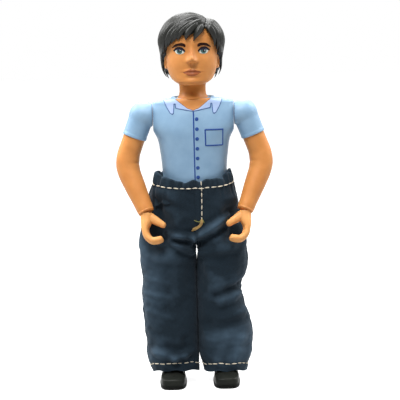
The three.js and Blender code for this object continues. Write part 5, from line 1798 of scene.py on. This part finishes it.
@dataclass
class Jeans:
    """Loose sewn jeans: two legs that join at the centre seams, and a gathered waistband."""

    colours: Palette
    cuts: ClassVar[dict[int, LegCut]] = {
        1: LegCut(15.1, 16.9, 20.1, 20.0, 17.7, 22.0, 18.7, 1.5, 1.5),
        -1: LegCut(16.8, 19.4, 22.8, 22.8, 22.4, 21.8, 18.7, 0.0, 2.2)}
    hem: float = 4.2
    knee: float = 33.0
    crotch: float = 55.0
    seat_end: float = 60.5
    split: float = 44.0
    stitch: float = 80.4
    waist_top: float = 83.6
    gap: float = 0.3
    power: float = 2.3
    rows: int = 236
    outer: int = 151
    inner: int = 22

    def folds(self) -> list[Fold]:
        """Folds that the cloth hangs in.

        Returns:
            The folds, each from a row of x and z at its start and end, its width and its height.
        """
        up, down, hem = self.crotch, self.knee, self.hem
        front = [
            (-1.2, up + 5.4, 13.5, up + 14.5, 1.4, 1.6), (0, up + 2.6, 11, up + 9, 1.3, -1.1),
            (-2, up + 6.2, -12, up + 7.4, 1.2, 1.3), (-3, up + 4.2, -9, up + 5, 0.9, -0.9),
            (-10.5, up + 5, -1.8, up - 0.5, 1.1, 1.1), (2, up - 1, 14, up + 2.2, 1.8, 0.9),
            (-2.5, up - 4, -15, up - 1.5, 1.8, 0.7), (5, up - 6, 8.5, down + 5, 2.4, 1.0),
            (-7, up - 8, -9, down + 2, 2.6, 0.8), (19, down + 8, 7, down + 4.5, 1.5, -1.1),
            (19, down + 5, 9, down + 1, 1.6, 0.9), (20, down - 3, 8, down - 7, 2.0, 0.8),
            (-21, down + 11.5, -12, down + 9.5, 1.0, 0.3), (-21, down + 5, -11, down + 3.6, 1.0, 0.3),
            (-20, down - 2.4, -10, down - 4.6, 1.3, 0.4), (3, down - 8, 19, down - 6, 1.8, -0.6),
            (4, down - 14.5, 18, down - 12.5, 2.6, 0.7), (-17, down - 19, -10, down - 21.5, 1.5, 1.0),
            (-10, down - 22, -4, down - 20, 1.5, 1.0), (-13, down - 16.5, -7, down - 17.5, 1.7, -0.9),
            (-5.5, down - 14, -3, hem + 6, 1.4, -0.9), (17, down - 15, 14, hem + 5, 1.8, 0.7),
            (9, down - 18, 7, hem + 5, 1.5, 0.45), (-14, up + 20, -8, up + 13, 1.6, 0.5),
            (-12, up + 17.5, -4, up + 14, 1.5, 0.55), (8, up + 20, 11, up + 14, 1.6, 0.5),
            (14.6, up + 15, 14.6, up + 7, 3.4, -2.8), (-15, up + 18, -15.6, up + 7, 4.2, -3.4)]
        back = [
            (-1, up + 3, 12, up + 8, 2.0, 1.1), (1, up + 3, -13, up + 8, 2.0, 1.1),
            (2, up + 0.5, 15, up + 2.5, 1.7, 0.8), (-2, up + 0.5, -16, up + 2.5, 1.7, 0.8),
            (18, down + 2, 4, down, 1.7, -1.2), (-20, down + 2, -4, down, 1.7, -1.2),
            (18, down + 5.5, 5, down + 4, 1.6, 0.8), (-20, down + 5.5, -5, down + 4, 1.6, 0.8),
            (12, down - 8, 10, hem + 4, 2.2, 0.9), (-12, down - 8, -10, hem + 4, 2.2, 0.9),
            (17, down - 18, 6, down - 21, 1.6, 0.7), (-17, down - 18, -6, down - 20, 1.6, 0.7),
            (9, up + 20, 5, up + 12, 2.2, 0.6), (-9, up + 20, -5, up + 12, 2.2, 0.6)]
        return [Fold((x, z), (end_x, end_z), width, height, face)
                for face, folds in ((Face.FRONT, front), (Face.BACK, back))
                for x, z, end_x, end_z, width, height in folds]

    def fade_and_painted_light(self) -> list[FadeAndPaintedLight]:
        """Parts painted paler and darker: painted light and painted shade in bands across the front, and a
        paler back.
        """
        return [
            FadeAndPaintedLight((-19, 51), (6, 13), 0.5), FadeAndPaintedLight((-17, 31), (7, 14), 0.22), FadeAndPaintedLight((-15, 14), (8, 5), 0.3),
            FadeAndPaintedLight((14, 15), (10, 7), 0.65), FadeAndPaintedLight((12, 38), (8, 9), 0.22), FadeAndPaintedLight((7, 66), (7, 5), 0.22),
            FadeAndPaintedLight((-4, 40), (4.5, 20), -0.4), FadeAndPaintedLight((9, 50), (11, 5), -0.45), FadeAndPaintedLight((0, 73), (20, 7), -0.45),
            FadeAndPaintedLight((-9, 24), (8, 5), -0.3), FadeAndPaintedLight((9, 27), (12, 3), -0.25), FadeAndPaintedLight((2, 58), (9, 3), -0.3),
            FadeAndPaintedLight((0, 45), (24, 14), 0.15, Face.BACK), FadeAndPaintedLight((0, 66), (18, 8), 0.15, Face.BACK)]

    def levels(self, cut: LegCut) -> Profile:
        """Sizes of one side by height.

        Args:
            cut: how far the side reaches.

        Returns:
            Its outer reach and half depth.
        """
        calf = mix(self.hem, self.knee, 0.5)
        hip_z = mix(self.crotch, self.stitch, 0.6)
        return Profile(
            (self.hem, cut.hem, 8.8),
            (mix(self.hem, calf, 0.45), mix(cut.hem, cut.calf, 0.7), 9.0),
            (calf, cut.calf, 8.8),
            (self.knee, mix(cut.knee, cut.calf, 0.25), 9.0),
            (mix(self.knee, self.split, 0.55), cut.knee, 9.0),
            (self.split + 3.0, cut.thigh, 9.1),
            (self.crotch + 1.0, cut.crotch, 9.55),
            (mix(self.crotch, hip_z, 0.5), mix(cut.hip, cut.crotch, 0.85), 9.8),
            (hip_z, mix(cut.hip, cut.crotch, 0.2), 9.7),
            (self.stitch, cut.waist + 0.5, 9.75))

    def heights(self) -> Array:
        """Heights of the level loops, from the waist stitching to the hem."""
        return np.linspace(self.stitch, self.hem, self.rows)

    def row_below(self, level: float) -> int:
        """Number of the first level loop that is no higher than a level."""
        return int(np.searchsorted(-self.heights(), -level))

    def inseam(self, cut: LegCut, z: Array) -> Array:
        """Inner reach of one side: the legs touch, but part below the crotch and at the hem."""
        opening = 0.5 * ease(self.seat_end - z, 0.0, 1.0) * ease(z, self.seat_end - 4.4, self.seat_end - 3.4)
        return opening + (cut.parting + self.gap) * ease(-z, -13.5, -self.hem) ** 1.3

    def section(self, outer: float, inner: float, depth: float, box: float) -> Array:
        """One level loop of a leg or of half the seat.

        Args:
            outer: its outer reach.
            inner: its inner reach.
            depth: its half depth.
            box: exponent that squares off the inner corners: small for square.

        Returns:
            Points from the inseam over the front and the outer side to the inseam again.
        """
        middle, half = (outer + inner) / 2, (outer - inner) / 2
        out_turn = np.radians(np.concatenate([np.linspace(-135, -90, 900), np.linspace(-89.9, 89.9, 900),
                                              np.linspace(90, 135, 900)]))
        in_turn = np.radians(np.linspace(135, 225, 1200))
        loops = []
        for turn, count in ((out_turn, self.outer), (in_turn, 2 * self.inner + 1)):
            exponent = np.where(np.cos(turn) < 0, box, 2 / self.power)
            loop = np.column_stack([middle + half * powered(np.cos(turn), exponent),
                                    depth * powered(np.sin(turn), exponent)])
            loops.append(evenly(loop, count))
        outside, between = loops
        return np.vstack([between[self.inner:-1], outside, between[1:self.inner + 1]])

    def base(self, side: int) -> Array:
        """Level loops of one side before it folds, from the waist stitching to the hem.

        Args:
            side: 1 for left, -1 for right.

        Returns:
            Points, rows by columns by three.
        """
        cut = self.cuts[side]
        z = self.heights()
        outer, depth = self.levels(cut).at(z)
        inner = np.where(z > self.seat_end, 0.0, self.inseam(cut, z))
        box = mix(0.04, 2 / self.power, ease(self.seat_end - z, 0.0, 13.0))
        loops = [self.section(*sizes) for sizes in zip(outer, inner, depth, box)]
        flat = np.array(loops)
        columns = flat.shape[1]
        height = np.repeat(z[:, None], columns, axis=1)
        cup = np.zeros(columns)
        share = np.linspace(0, 1, self.inner)
        dip = (self.seat_end - self.crotch - 0.4) * np.sin(share * math.pi / 2) ** 0.55
        cup[:self.inner] = dip[::-1]
        cup[-self.inner:] = dip
        height -= cup[None] * ((height - self.hem) / (self.seat_end - self.hem))
        crease = np.interp(z, [50, 55.3, 62.6, 70], [0.0, 0.3, 0.1, 0.0])[:, None]
        y = flat[..., 1] * (1 - crease * bell(flat[..., 0], 3.2))
        x = flat[..., 0]
        lap = 1.5 * x[:, self.inner] * (z > self.seat_end)
        x = x - lap[:, None] * bell(x, 1.5)
        sideways = (x / outer[:, None]) ** 2
        height += 1.3 * sideways * ease(z, 66.0, self.stitch)[:, None]
        lift = cut.hem_lift * np.clip(-y / 8.8, -0.3, 1.0) * ease(-z, -20.0, -self.hem)[:, None]
        wave = 0.25 * np.sin(x * 0.9 + side) * ease(-z, -9.0, -self.hem)[:, None]
        return np.dstack([x * side, y, height + lift + wave])

    def wrinkles(self, points: Array, side: int) -> Array:
        """Small uneven waves over the whole cloth.

        Args:
            points: points of one side, rows by columns by three.
            side: 1 for left, -1 for right.

        Returns:
            Their heights.
        """
        chance = np.random.default_rng(23 + side)
        total = np.zeros(points.shape[:2])
        for length, size in ((18, 0.11), (12, 0.075), (8, 0.05), (5, 0.042), (3.4, 0.032), (2.4, 0.022)):
            for _ in range(3):
                way = chance.normal(0, 1, 3) * (0.6, 0.6, 1.0)
                way /= np.linalg.norm(way)
                shift = chance.normal(0, 5, 3)
                bent = points + 1.5 * np.sin(points[..., [2, 0, 1]] / 5 + shift)
                total += size * np.sin(bent @ way * 2 * math.pi / length + chance.uniform(0, 6.3))
        return total

    @staticmethod
    def gathers(columns: int) -> Array:
        """Small upright puckers under the waist stitching.

        Args:
            columns: how many places lie round the side.

        Returns:
            Their heights.
        """
        along = np.linspace(0, 1, columns)
        waves = ((15, 0.0, 0.13), (22, 1.7, 0.12), (31, 4.1, 0.09))
        return sum(size * np.sin(2 * math.pi * count * along + shift) for count, shift, size in waves)

    def weave(self, base: Array, side: int) -> tuple[Array, Array]:
        """Faces of one side, which has none between the legs above the crotch.

        Args:
            base: its level loops.
            side: 1 for left, -1 for right.

        Returns:
            Faces turned outwards, and the direction of each point in the form of the loops.
        """
        rows, columns = base.shape[:2]
        index = np.arange(rows * columns).reshape(rows, columns)
        strips = quads_between(index[:, :-1], index[:, 1:])
        seat_row = self.row_below(self.seat_end)
        keep = np.ones(strips.shape[:2], dtype=bool)
        keep[:seat_row, :self.inner] = False
        keep[:seat_row, -self.inner:] = False
        faces = strips[keep].reshape(-1, 4)
        flat = base.reshape(-1, 3)
        normals = vertex_normals(flat, faces)
        out = flat - np.array([side * 10.0, 0, 0]) * (flat[:, 2:] < 60)
        if (normals[:, :2] * out[:, :2]).sum() < 0:
            faces, normals = faces[:, ::-1], -normals
        return faces, normals.reshape(base.shape)

    def drift(self, points: Array, side: int) -> Array:
        """How far the cloth wanders sideways where the legs meet.

        Args:
            points: points of one side, rows by columns by three.
            side: 1 for left, -1 for right.

        Returns:
            One distance along X for each point.
        """
        x, y, z = np.moveaxis(points, -1, 0)
        swing = 0.4 - 0.14 * bell(z - self.knee, 12.0)
        winding = swing * np.sin(y * 0.75) * ease(-z, -51.0, -48.0) * ease(z, 11.0, 16.0)
        apart = side * 0.9 * ease(y, 0.6, 3.0) * ease(-z, -50.0, -46.0)
        return (winding + apart) * bell(x, 2.2)

    def cloth(self, side: int) -> Cloth:
        """One whole side with its folds and seams.

        Args:
            side: 1 for left, -1 for right.

        Returns:
            The side down to its hem.
        """
        base = self.base(side)
        columns = base.shape[1]
        faces, normals = self.weave(base, side)
        from_middle, z = np.abs(base[..., 0]), base[..., 2]
        fold = sum(f.rise(base) for f in self.folds())
        fine = self.wrinkles(base, side)
        near_inseam = np.ones(columns)
        near_inseam[:self.inner] = np.linspace(0.15, 1, self.inner)
        near_inseam[-self.inner:] = np.linspace(1, 0.15, self.inner)
        pulled = ease(-z, -self.stitch, -(self.stitch - 6))
        rise = (fold * mix(0.45, 1.0, pulled) + fine) * near_inseam[None]
        side_seam = self.inner + (self.outer - 1) // 2
        from_seam = np.abs(np.arange(columns) - side_seam)[None]
        rise = rise + 0.3 * bell(from_seam, 1.6) - 0.2 * bell(from_seam - 4, 1.5)
        in_seat = z > self.seat_end
        rise = rise - np.where(in_seat, 0.2 * bell(from_middle, 0.5), 0)
        rise = rise + self.gathers(columns)[None] * ease(z, 72.5, self.stitch) ** 1.5
        above_hem = z - np.min(z, axis=0)[None]
        rise = rise + 0.22 * ease(-above_hem, -3.0, -2.6) - 0.22 * bell(above_hem - 3.0, 0.35)
        push = normals * rise[..., None]
        push[..., 0] *= mix(1.0, ease(from_middle, 0.0, 1.2), ease(z, 51.0, 54.5))
        grid = base + push
        grid[..., 0] = side * np.maximum(side * grid[..., 0], np.where(in_seat, -0.08, 0.0))
        grid[..., 0] += self.drift(grid, side)
        # Paler on raised folds and darker in the hollows: wear and painted light on the ridges, painted shade
        # in the hollows. Paler at the hem edge and side seam from wear.
        wear_and_painted_light = np.clip(0.26 * fold + 0.35 * fine, -0.4, 0.6) + 0.25 * ease(-above_hem, -0.5, 0.0)
        wear_and_painted_light = wear_and_painted_light + 0.18 * bell(from_seam, 1.6) + sum(area.share(base) for area in self.fade_and_painted_light())
        threads = np.dstack([np.broadcast_to(np.linspace(-31, 31, columns), z.shape), z])
        points = grid.reshape(-1, 3)
        return Cloth(grid, points, faces, vertex_normals(points, faces), wear_and_painted_light.ravel(),
                     threads.reshape(-1, 2))

    @staticmethod
    def turned_hem(cloth: Cloth) -> None:
        """Add the turned-in edge below the hem and inside it.

        Args:
            cloth: one side, which grows.
        """
        edge = cloth.grid[-1]
        columns = len(edge)
        middle = np.array([edge[:, 0].mean(), edge[:, 1].mean(), 0])
        ray = unit((edge - middle) * (1, 1, 0))
        steps = [(0.12, -0.14), (0.36, -0.16), (0.55, 0.02), (0.62, 1.2), (0.7, 3.0), (0.8, 6.5)]
        rows = np.array([edge - ray * inset + (0, 0, rise) for inset, rise in steps])
        start = len(cloth.points)
        last = np.arange(start - columns, start)
        index = np.vstack([last, start + np.arange(len(steps) * columns).reshape(len(steps), columns)])
        strips = quads_between(index[:, :-1], index[:, 1:]).reshape(-1, 4)
        above = cloth.faces[-1]
        cloth.points = np.vstack([cloth.points, rows.reshape(-1, 3)])
        cloth.faces = np.vstack([cloth.faces, strips if above[0] < above[3] else strips[:, ::-1]])
        cloth.normals = vertex_normals(cloth.points, cloth.faces)
        cloth.wear_and_painted_light = np.concatenate([cloth.wear_and_painted_light, np.full(len(steps) * columns, 0.1)])
        extra = [cloth.threads[last] + (0, -0.3 * (k + 1)) for k in range(len(steps))]
        cloth.threads = np.vstack([cloth.threads, *extra])

    def part(self, name: str, cloth: Cloth, faces: Array) -> Piece:
        """A piece of one side made of some of its faces, shaded as part of the whole.

        Args:
            name: the piece's name.
            cloth: the cloth that it is cut from.
            faces: the faces that the piece takes.

        Returns:
            The piece, still riding on nothing.
        """
        used, numbers = np.unique(faces, return_inverse=True)
        numbers = numbers.reshape(faces.shape)
        mesh = bpy.data.meshes.new(name)
        mesh.from_pydata(metres(cloth.points[used]), [], numbers.tolist())
        mesh.update()
        mesh.polygons.foreach_set("use_smooth", [True] * len(mesh.polygons))
        mesh.materials.append(self.colours.denim)
        note(mesh, "wear_and_painted_light", cloth.wear_and_painted_light[used])
        threads = mesh.uv_layers.new(name="threads")
        corners = numbers.ravel()
        threads.data.foreach_set("uv", cloth.threads[used][corners].astype(np.float32).ravel())
        mesh.normals_split_custom_set_from_vertices(cloth.normals[used].tolist())
        return add_object(name, mesh)

    def waistband(self, cloths: dict[int, Cloth]) -> Cloth:
        """The gathered band above the waist stitching, open at the top like a paper bag.

        Args:
            cloths: both sides, whose top rows the band grows from.

        Returns:
            The band.
        """
        tops = {side: cloths[side].grid[0, self.inner:self.inner + self.outer] for side in SIDES}
        ring = np.vstack([tops[1], tops[-1][-2:0:-1]])
        count = len(ring)
        out = unit(ring * (1, 1, 0))
        along = turns(count)
        chance = np.random.default_rng(5)
        ripples = (((13, 0.3), (19, 0.28), (29, 0.2), (43, 0.12)), ((5, 0.35), (11, 0.3), (17, 0.25)))
        pucker, frill = [sum(size * np.sin(waves * along + chance.uniform(0, 6.3)) for waves, size in row)
                         for row in ripples]
        sideways = np.where(ring[:, 0] > 0, ring[:, 0] / 15.6, ring[:, 0] / 17.3) ** 2
        top = self.waist_top + 3.3 * sideways + frill - ring[:, 2]
        rows, wear_and_painted_light = [], []
        for share, inset in ((0, 0.0), (0.04, 0.22), (0.12, 0.12), (0.25, -0.02), (0.45, -0.08), (0.65, 0.0),
                             (0.82, 0.1), (0.94, 0.2), (1.0, 0.4), (0.98, 0.75), (0.8, 0.9), (0.5, 1.0),
                             (0.1, 1.0), (-0.6, 0.9), (-1.4, 0.8)):
            gather = pucker * min(1.0, 0.2 + abs(share)) * (1 if inset < 0.5 else 0.8)
            lean = 1.1 * sideways * max(share, 0)
            rows.append(ring + out * (gather - inset - lean)[:, None] + (0, 0, 1) * (top * share)[:, None])
            # Raised puckers are painted paler, as painted light on them; the top rim is paler from wear.
            wear_and_painted_light.append(0.3 * gather + (0.3 if 0.9 < share else 0.0))
        grid = np.array(rows)
        shape = skin(grid, Ends.NEITHER)
        faces = np.array(shape[1])
        normals = vertex_normals(shape[0], faces)
        if (normals[:count] * out).sum() < 0:
            faces, normals = faces[:, ::-1], -normals
        threads = np.dstack([np.broadcast_to(along * 15, grid.shape[:2]), grid[..., 2]]).reshape(-1, 2)
        return Cloth(grid, shape[0], faces, normals, np.concatenate(wear_and_painted_light), threads)

    def build(self, stitching: PathTool, drawing: PathTool) -> None:
        """Make the jeans and sew them.

        Args:
            stitching: the tool for stitches.
            drawing: the tool for loose threads.
        """
        cloths = {side: self.cloth(side) for side in SIDES}
        lines = {side: self.hem_line(cloths[side]) for side in SIDES}
        for side in SIDES:
            self.turned_hem(cloths[side])
            self.hang(side, cloths[side])
        band = self.waistband(cloths)
        waist = self.part("waistband", band, band.faces)
        settle(waist, "torso", "denim", "jeans_seat")
        self.sew(stitching, drawing, cloths, band)
        for side in SIDES:
            name = SIDE_NAMES[side]
            stitches = stitching.make(f"{name}_hem_stitches", [lines[side]], self.colours.cream,
                                      Pitch=2.6, Length=2.15, Thickness=0.46)
            settle(stitches, f"{name}_shin", "denim")

    def hang(self, side: int, cloth: Cloth) -> None:
        """Cut one side at the thigh into two lengths.

        Args:
            side: 1 for left, -1 for right.
            cloth: the cloth of the side.
        """
        name = SIDE_NAMES[side]
        columns = cloth.grid.shape[1]
        row = self.row_below(self.split)
        first = cloth.faces.min(axis=1) // columns
        upper = self.part(f"{name}_jeans_seat", cloth, cloth.faces[first < row])
        lower = self.part(f"{name}_jeans_leg", cloth, cloth.faces[first >= row])
        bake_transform(upper)
        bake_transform(lower)
        for piece in (upper, lower):
            LOG.info("%s bends between two bodies", piece.name)
        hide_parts(f"jeans_{name}_thigh")
        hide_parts(f"jeans_{name}_shin")

    @staticmethod
    def hem_line(cloth: Cloth) -> Array:
        """Path of the stitching round one hem.

        Args:
            cloth: one side, before its hem is turned in.

        Returns:
            Points of the path.
        """
        grid = cloth.grid
        normals = cloth.normals.reshape(grid.shape)
        row = np.argmin(np.abs(grid[..., 2] - grid[-1, :, 2] - 2.95), axis=0)
        column = np.arange(grid.shape[1])
        return evenly(grid[row, column] + normals[row, column] * 0.26, 240)

    def sew(self, stitching: PathTool, drawing: PathTool, cloths: dict[int, Cloth], band: Cloth) -> None:
        """Sew the waist and the fly.

        Args:
            stitching: the tool for stitches.
            drawing: the tool for loose threads.
            cloths: both sides.
            band: the waistband.
        """
        ring = band.grid[2]
        around = np.vstack([ring, ring[:1]])
        out = unit(around * (1, 1, 0))
        waist = stitching.make("waist_stitches", [evenly(around + out * 0.3, 500)], self.colours.cream,
                               Pitch=2.7, Length=2.2, Thickness=0.46)
        printer = Printer(Surface(together(cloths[1].shape(), cloths[-1].shape(), band.shape())))
        fly = printer.line([(2.35, 82.9), (2.45, 80), (2.5, 74), (2.35, 68.2)], -0.16)
        fly_stitches = stitching.make("fly_stitches", [fly], self.colours.cream, Pitch=2.3, Length=2.0,
                                      Thickness=0.46)
        strands = [
            ([(2.35, 68.4), (2.1, 66.6), (1.0, 65.2), (-0.6, 64.5), (-1.7, 64.1)], 24, -0.35),
            ([(2.65, 67.9), (2.35, 66.3), (1.2, 64.8), (-0.4, 64.0), (-1.9, 63.6)], 24, -0.3),
            ([(2.2, 68.2), (1.75, 66.7), (0.7, 65.5), (-0.7, 64.9), (-1.4, 64.6)], 24, -0.3),
            ([(2.2, 68.0), (1.2, 67.4), (0.1, 67.7), (-0.8, 68.0)], 16, -0.3),
            ([(2.4, 68.6), (2.9, 67.8), (3.2, 67.0)], 12, -0.3)]
        loose = [printer.line(curve_through(line, count), sink) for line, count, sink in strands]
        gold = drawing.make("fly_thread", loose[:3], self.colours.gold, Thickness=0.44)
        olive = drawing.make("fly_thread_ends", loose[3:], self.colours.olive, Thickness=0.34)
        for piece in (waist, fly_stitches, gold, olive):
            settle(piece, "torso", "denim")


def seen_directly(nodes: Nodes) -> Socket:
    """Value of 1 for what the camera, a reflection or a clear part shows, and 0 for light cast.

    Args:
        nodes: the shader nodes that the test is added to.

    Returns:
        The value's socket.
    """
    path = nodes.add("LightPath", {})
    value = path.outputs["Is Camera Ray"]
    for kind in ("Is Glossy Ray", "Is Transmission Ray"):
        value = nodes.give("Math", {0: value, 1: path.outputs[kind]}, operation="MAXIMUM")
    return value


@dataclass
class Studio:
    """White sweep, soft lamps and the camera."""

    camera_at: tuple = (0.0, -0.495, 0.145)
    aim: tuple = (0.0, 0.0, 0.075)
    lens: float = 111.24
    roll: float = 1.5
    shift: Flat = (0.0114, -0.001)
    surround: float = 0.1
    floor_glow: float = 0.95
    lamp_aim: tuple = (0, 0, 0.08)

    def floor(self) -> None:
        """Lay the pale floor."""
        recipe = Recipe("pale_floor")
        glow = recipe.sum(seen_directly(recipe), self.floor_glow, "MULTIPLY")
        grain = recipe.tint(recipe.spread(recipe.noise(60.0), 0.0, 1.0), linear("#949494"), linear("#9a9a9a"))
        recipe.finish(Base_Color=grain, Roughness=0.9, Emission_Color=(1, 1, 1, 1), Emission_Strength=glow)
        mesh = bpy.data.meshes.new("floor")
        mesh.from_pydata([(-3, -3, 0), (3, -3, 0), (3, 3, 0), (-3, 3, 0)], [], [(0, 1, 2, 3)])
        mesh.materials.append(recipe.material)
        add_object("floor", mesh)

    def world(self) -> None:
        """White surround, dimmer as light on the doll."""
        world = bpy.data.worlds.new("surround")
        world.use_nodes = True
        nodes = Nodes(world.node_tree)
        strength = nodes.give("MapRange", {"Value": seen_directly(nodes), "To Min": self.surround,
                                           "To Max": 1.0})
        back = nodes.tree.nodes["Background"]
        nodes.feed(back.inputs["Color"], (1, 1, 1, 1))
        nodes.feed(back.inputs["Strength"], strength)
        bpy.context.scene.world = world

    def hang_lamps(self) -> None:
        """Hang square soft lamps, each by its place and side in metres and its watts."""
        lamps = {
            "key_box": ((-0.1, -0.32, 0.66), 0.26, 4.6),
            "top_box": ((-0.05, 0.05, 0.75), 0.35, 4.2),
            "back_box": ((0.0, 0.34, 0.5), 0.32, 2.6),
            "left_rim": ((0.42, 0.16, 0.46), 0.35, 3.2),
            "right_rim": ((-0.42, 0.16, 0.46), 0.35, 3.2),
        }
        for name, (at, side, watts) in lamps.items():
            light = bpy.data.lights.new(name, "AREA")
            light.size = side
            light.energy = watts
            lamp = add_object(name, light)
            lamp.location = at
            lamp.rotation_euler = (Vector(self.lamp_aim) - Vector(at)).to_track_quat("-Z", "Y").to_euler()

    def camera(self) -> None:
        """Set up the camera."""
        data = bpy.data.cameras.new("camera")
        data.lens = self.lens
        data.sensor_width = 36.0
        data.shift_x, data.shift_y = self.shift
        data.clip_start = 0.01
        camera = add_object("camera", data)
        camera.location = self.camera_at
        facing = (Vector(self.aim) - Vector(self.camera_at)).to_track_quat("-Z", "Y").to_matrix()
        rolled = facing @ Matrix.Rotation(math.radians(-self.roll), 3, "Z")
        camera.rotation_euler = rolled.to_euler()
        bpy.context.scene.camera = camera

    def build(self) -> None:
        """Set up the whole studio."""
        self.camera()
        self.floor()
        self.world()
        self.hang_lamps()
        bpy.context.scene.view_settings.view_transform = "Standard"


def dress_hidden_parts(colours: Palette) -> None:
    """Give the limbs and pins inside the jeans their procedural finishes.

    Args:
        colours: the finishes.
    """
    finishes = {"thigh": colours.skin, "shin": colours.skin, "knee_pin": colours.pin}
    nodes = {f"{SIDE_NAMES[s]}_{part}": finish for s in SIDES for part, finish in finishes.items()}
    nodes["hip_axle"] = colours.pin
    for name, finish in nodes.items():
        slot = bpy.data.objects[name].material_slots[0]
        slot.link = "OBJECT"
        slot.material = finish
        LOG.info("%s keeps its own shape", name)


def main() -> None:
    """Build the doll and the studio."""
    logging.basicConfig(level=logging.INFO, format="%(name)s: %(message)s")
    colours = Palette()
    stitching, drawing = PathTool.stitching(), PathTool.drawing()
    Studio().build()
    Head(colours).build(drawing)
    Hair(colours).build()
    Torso(colours).build(drawing)
    for side in SIDES:
        Arm(colours, side).build()
        Hand(colours, side).build()
        Shoe(colours, side).build()
    Jeans(colours).build(stitching, drawing)
    dress_hidden_parts(colours)


if __name__ == "__main__":
    main()
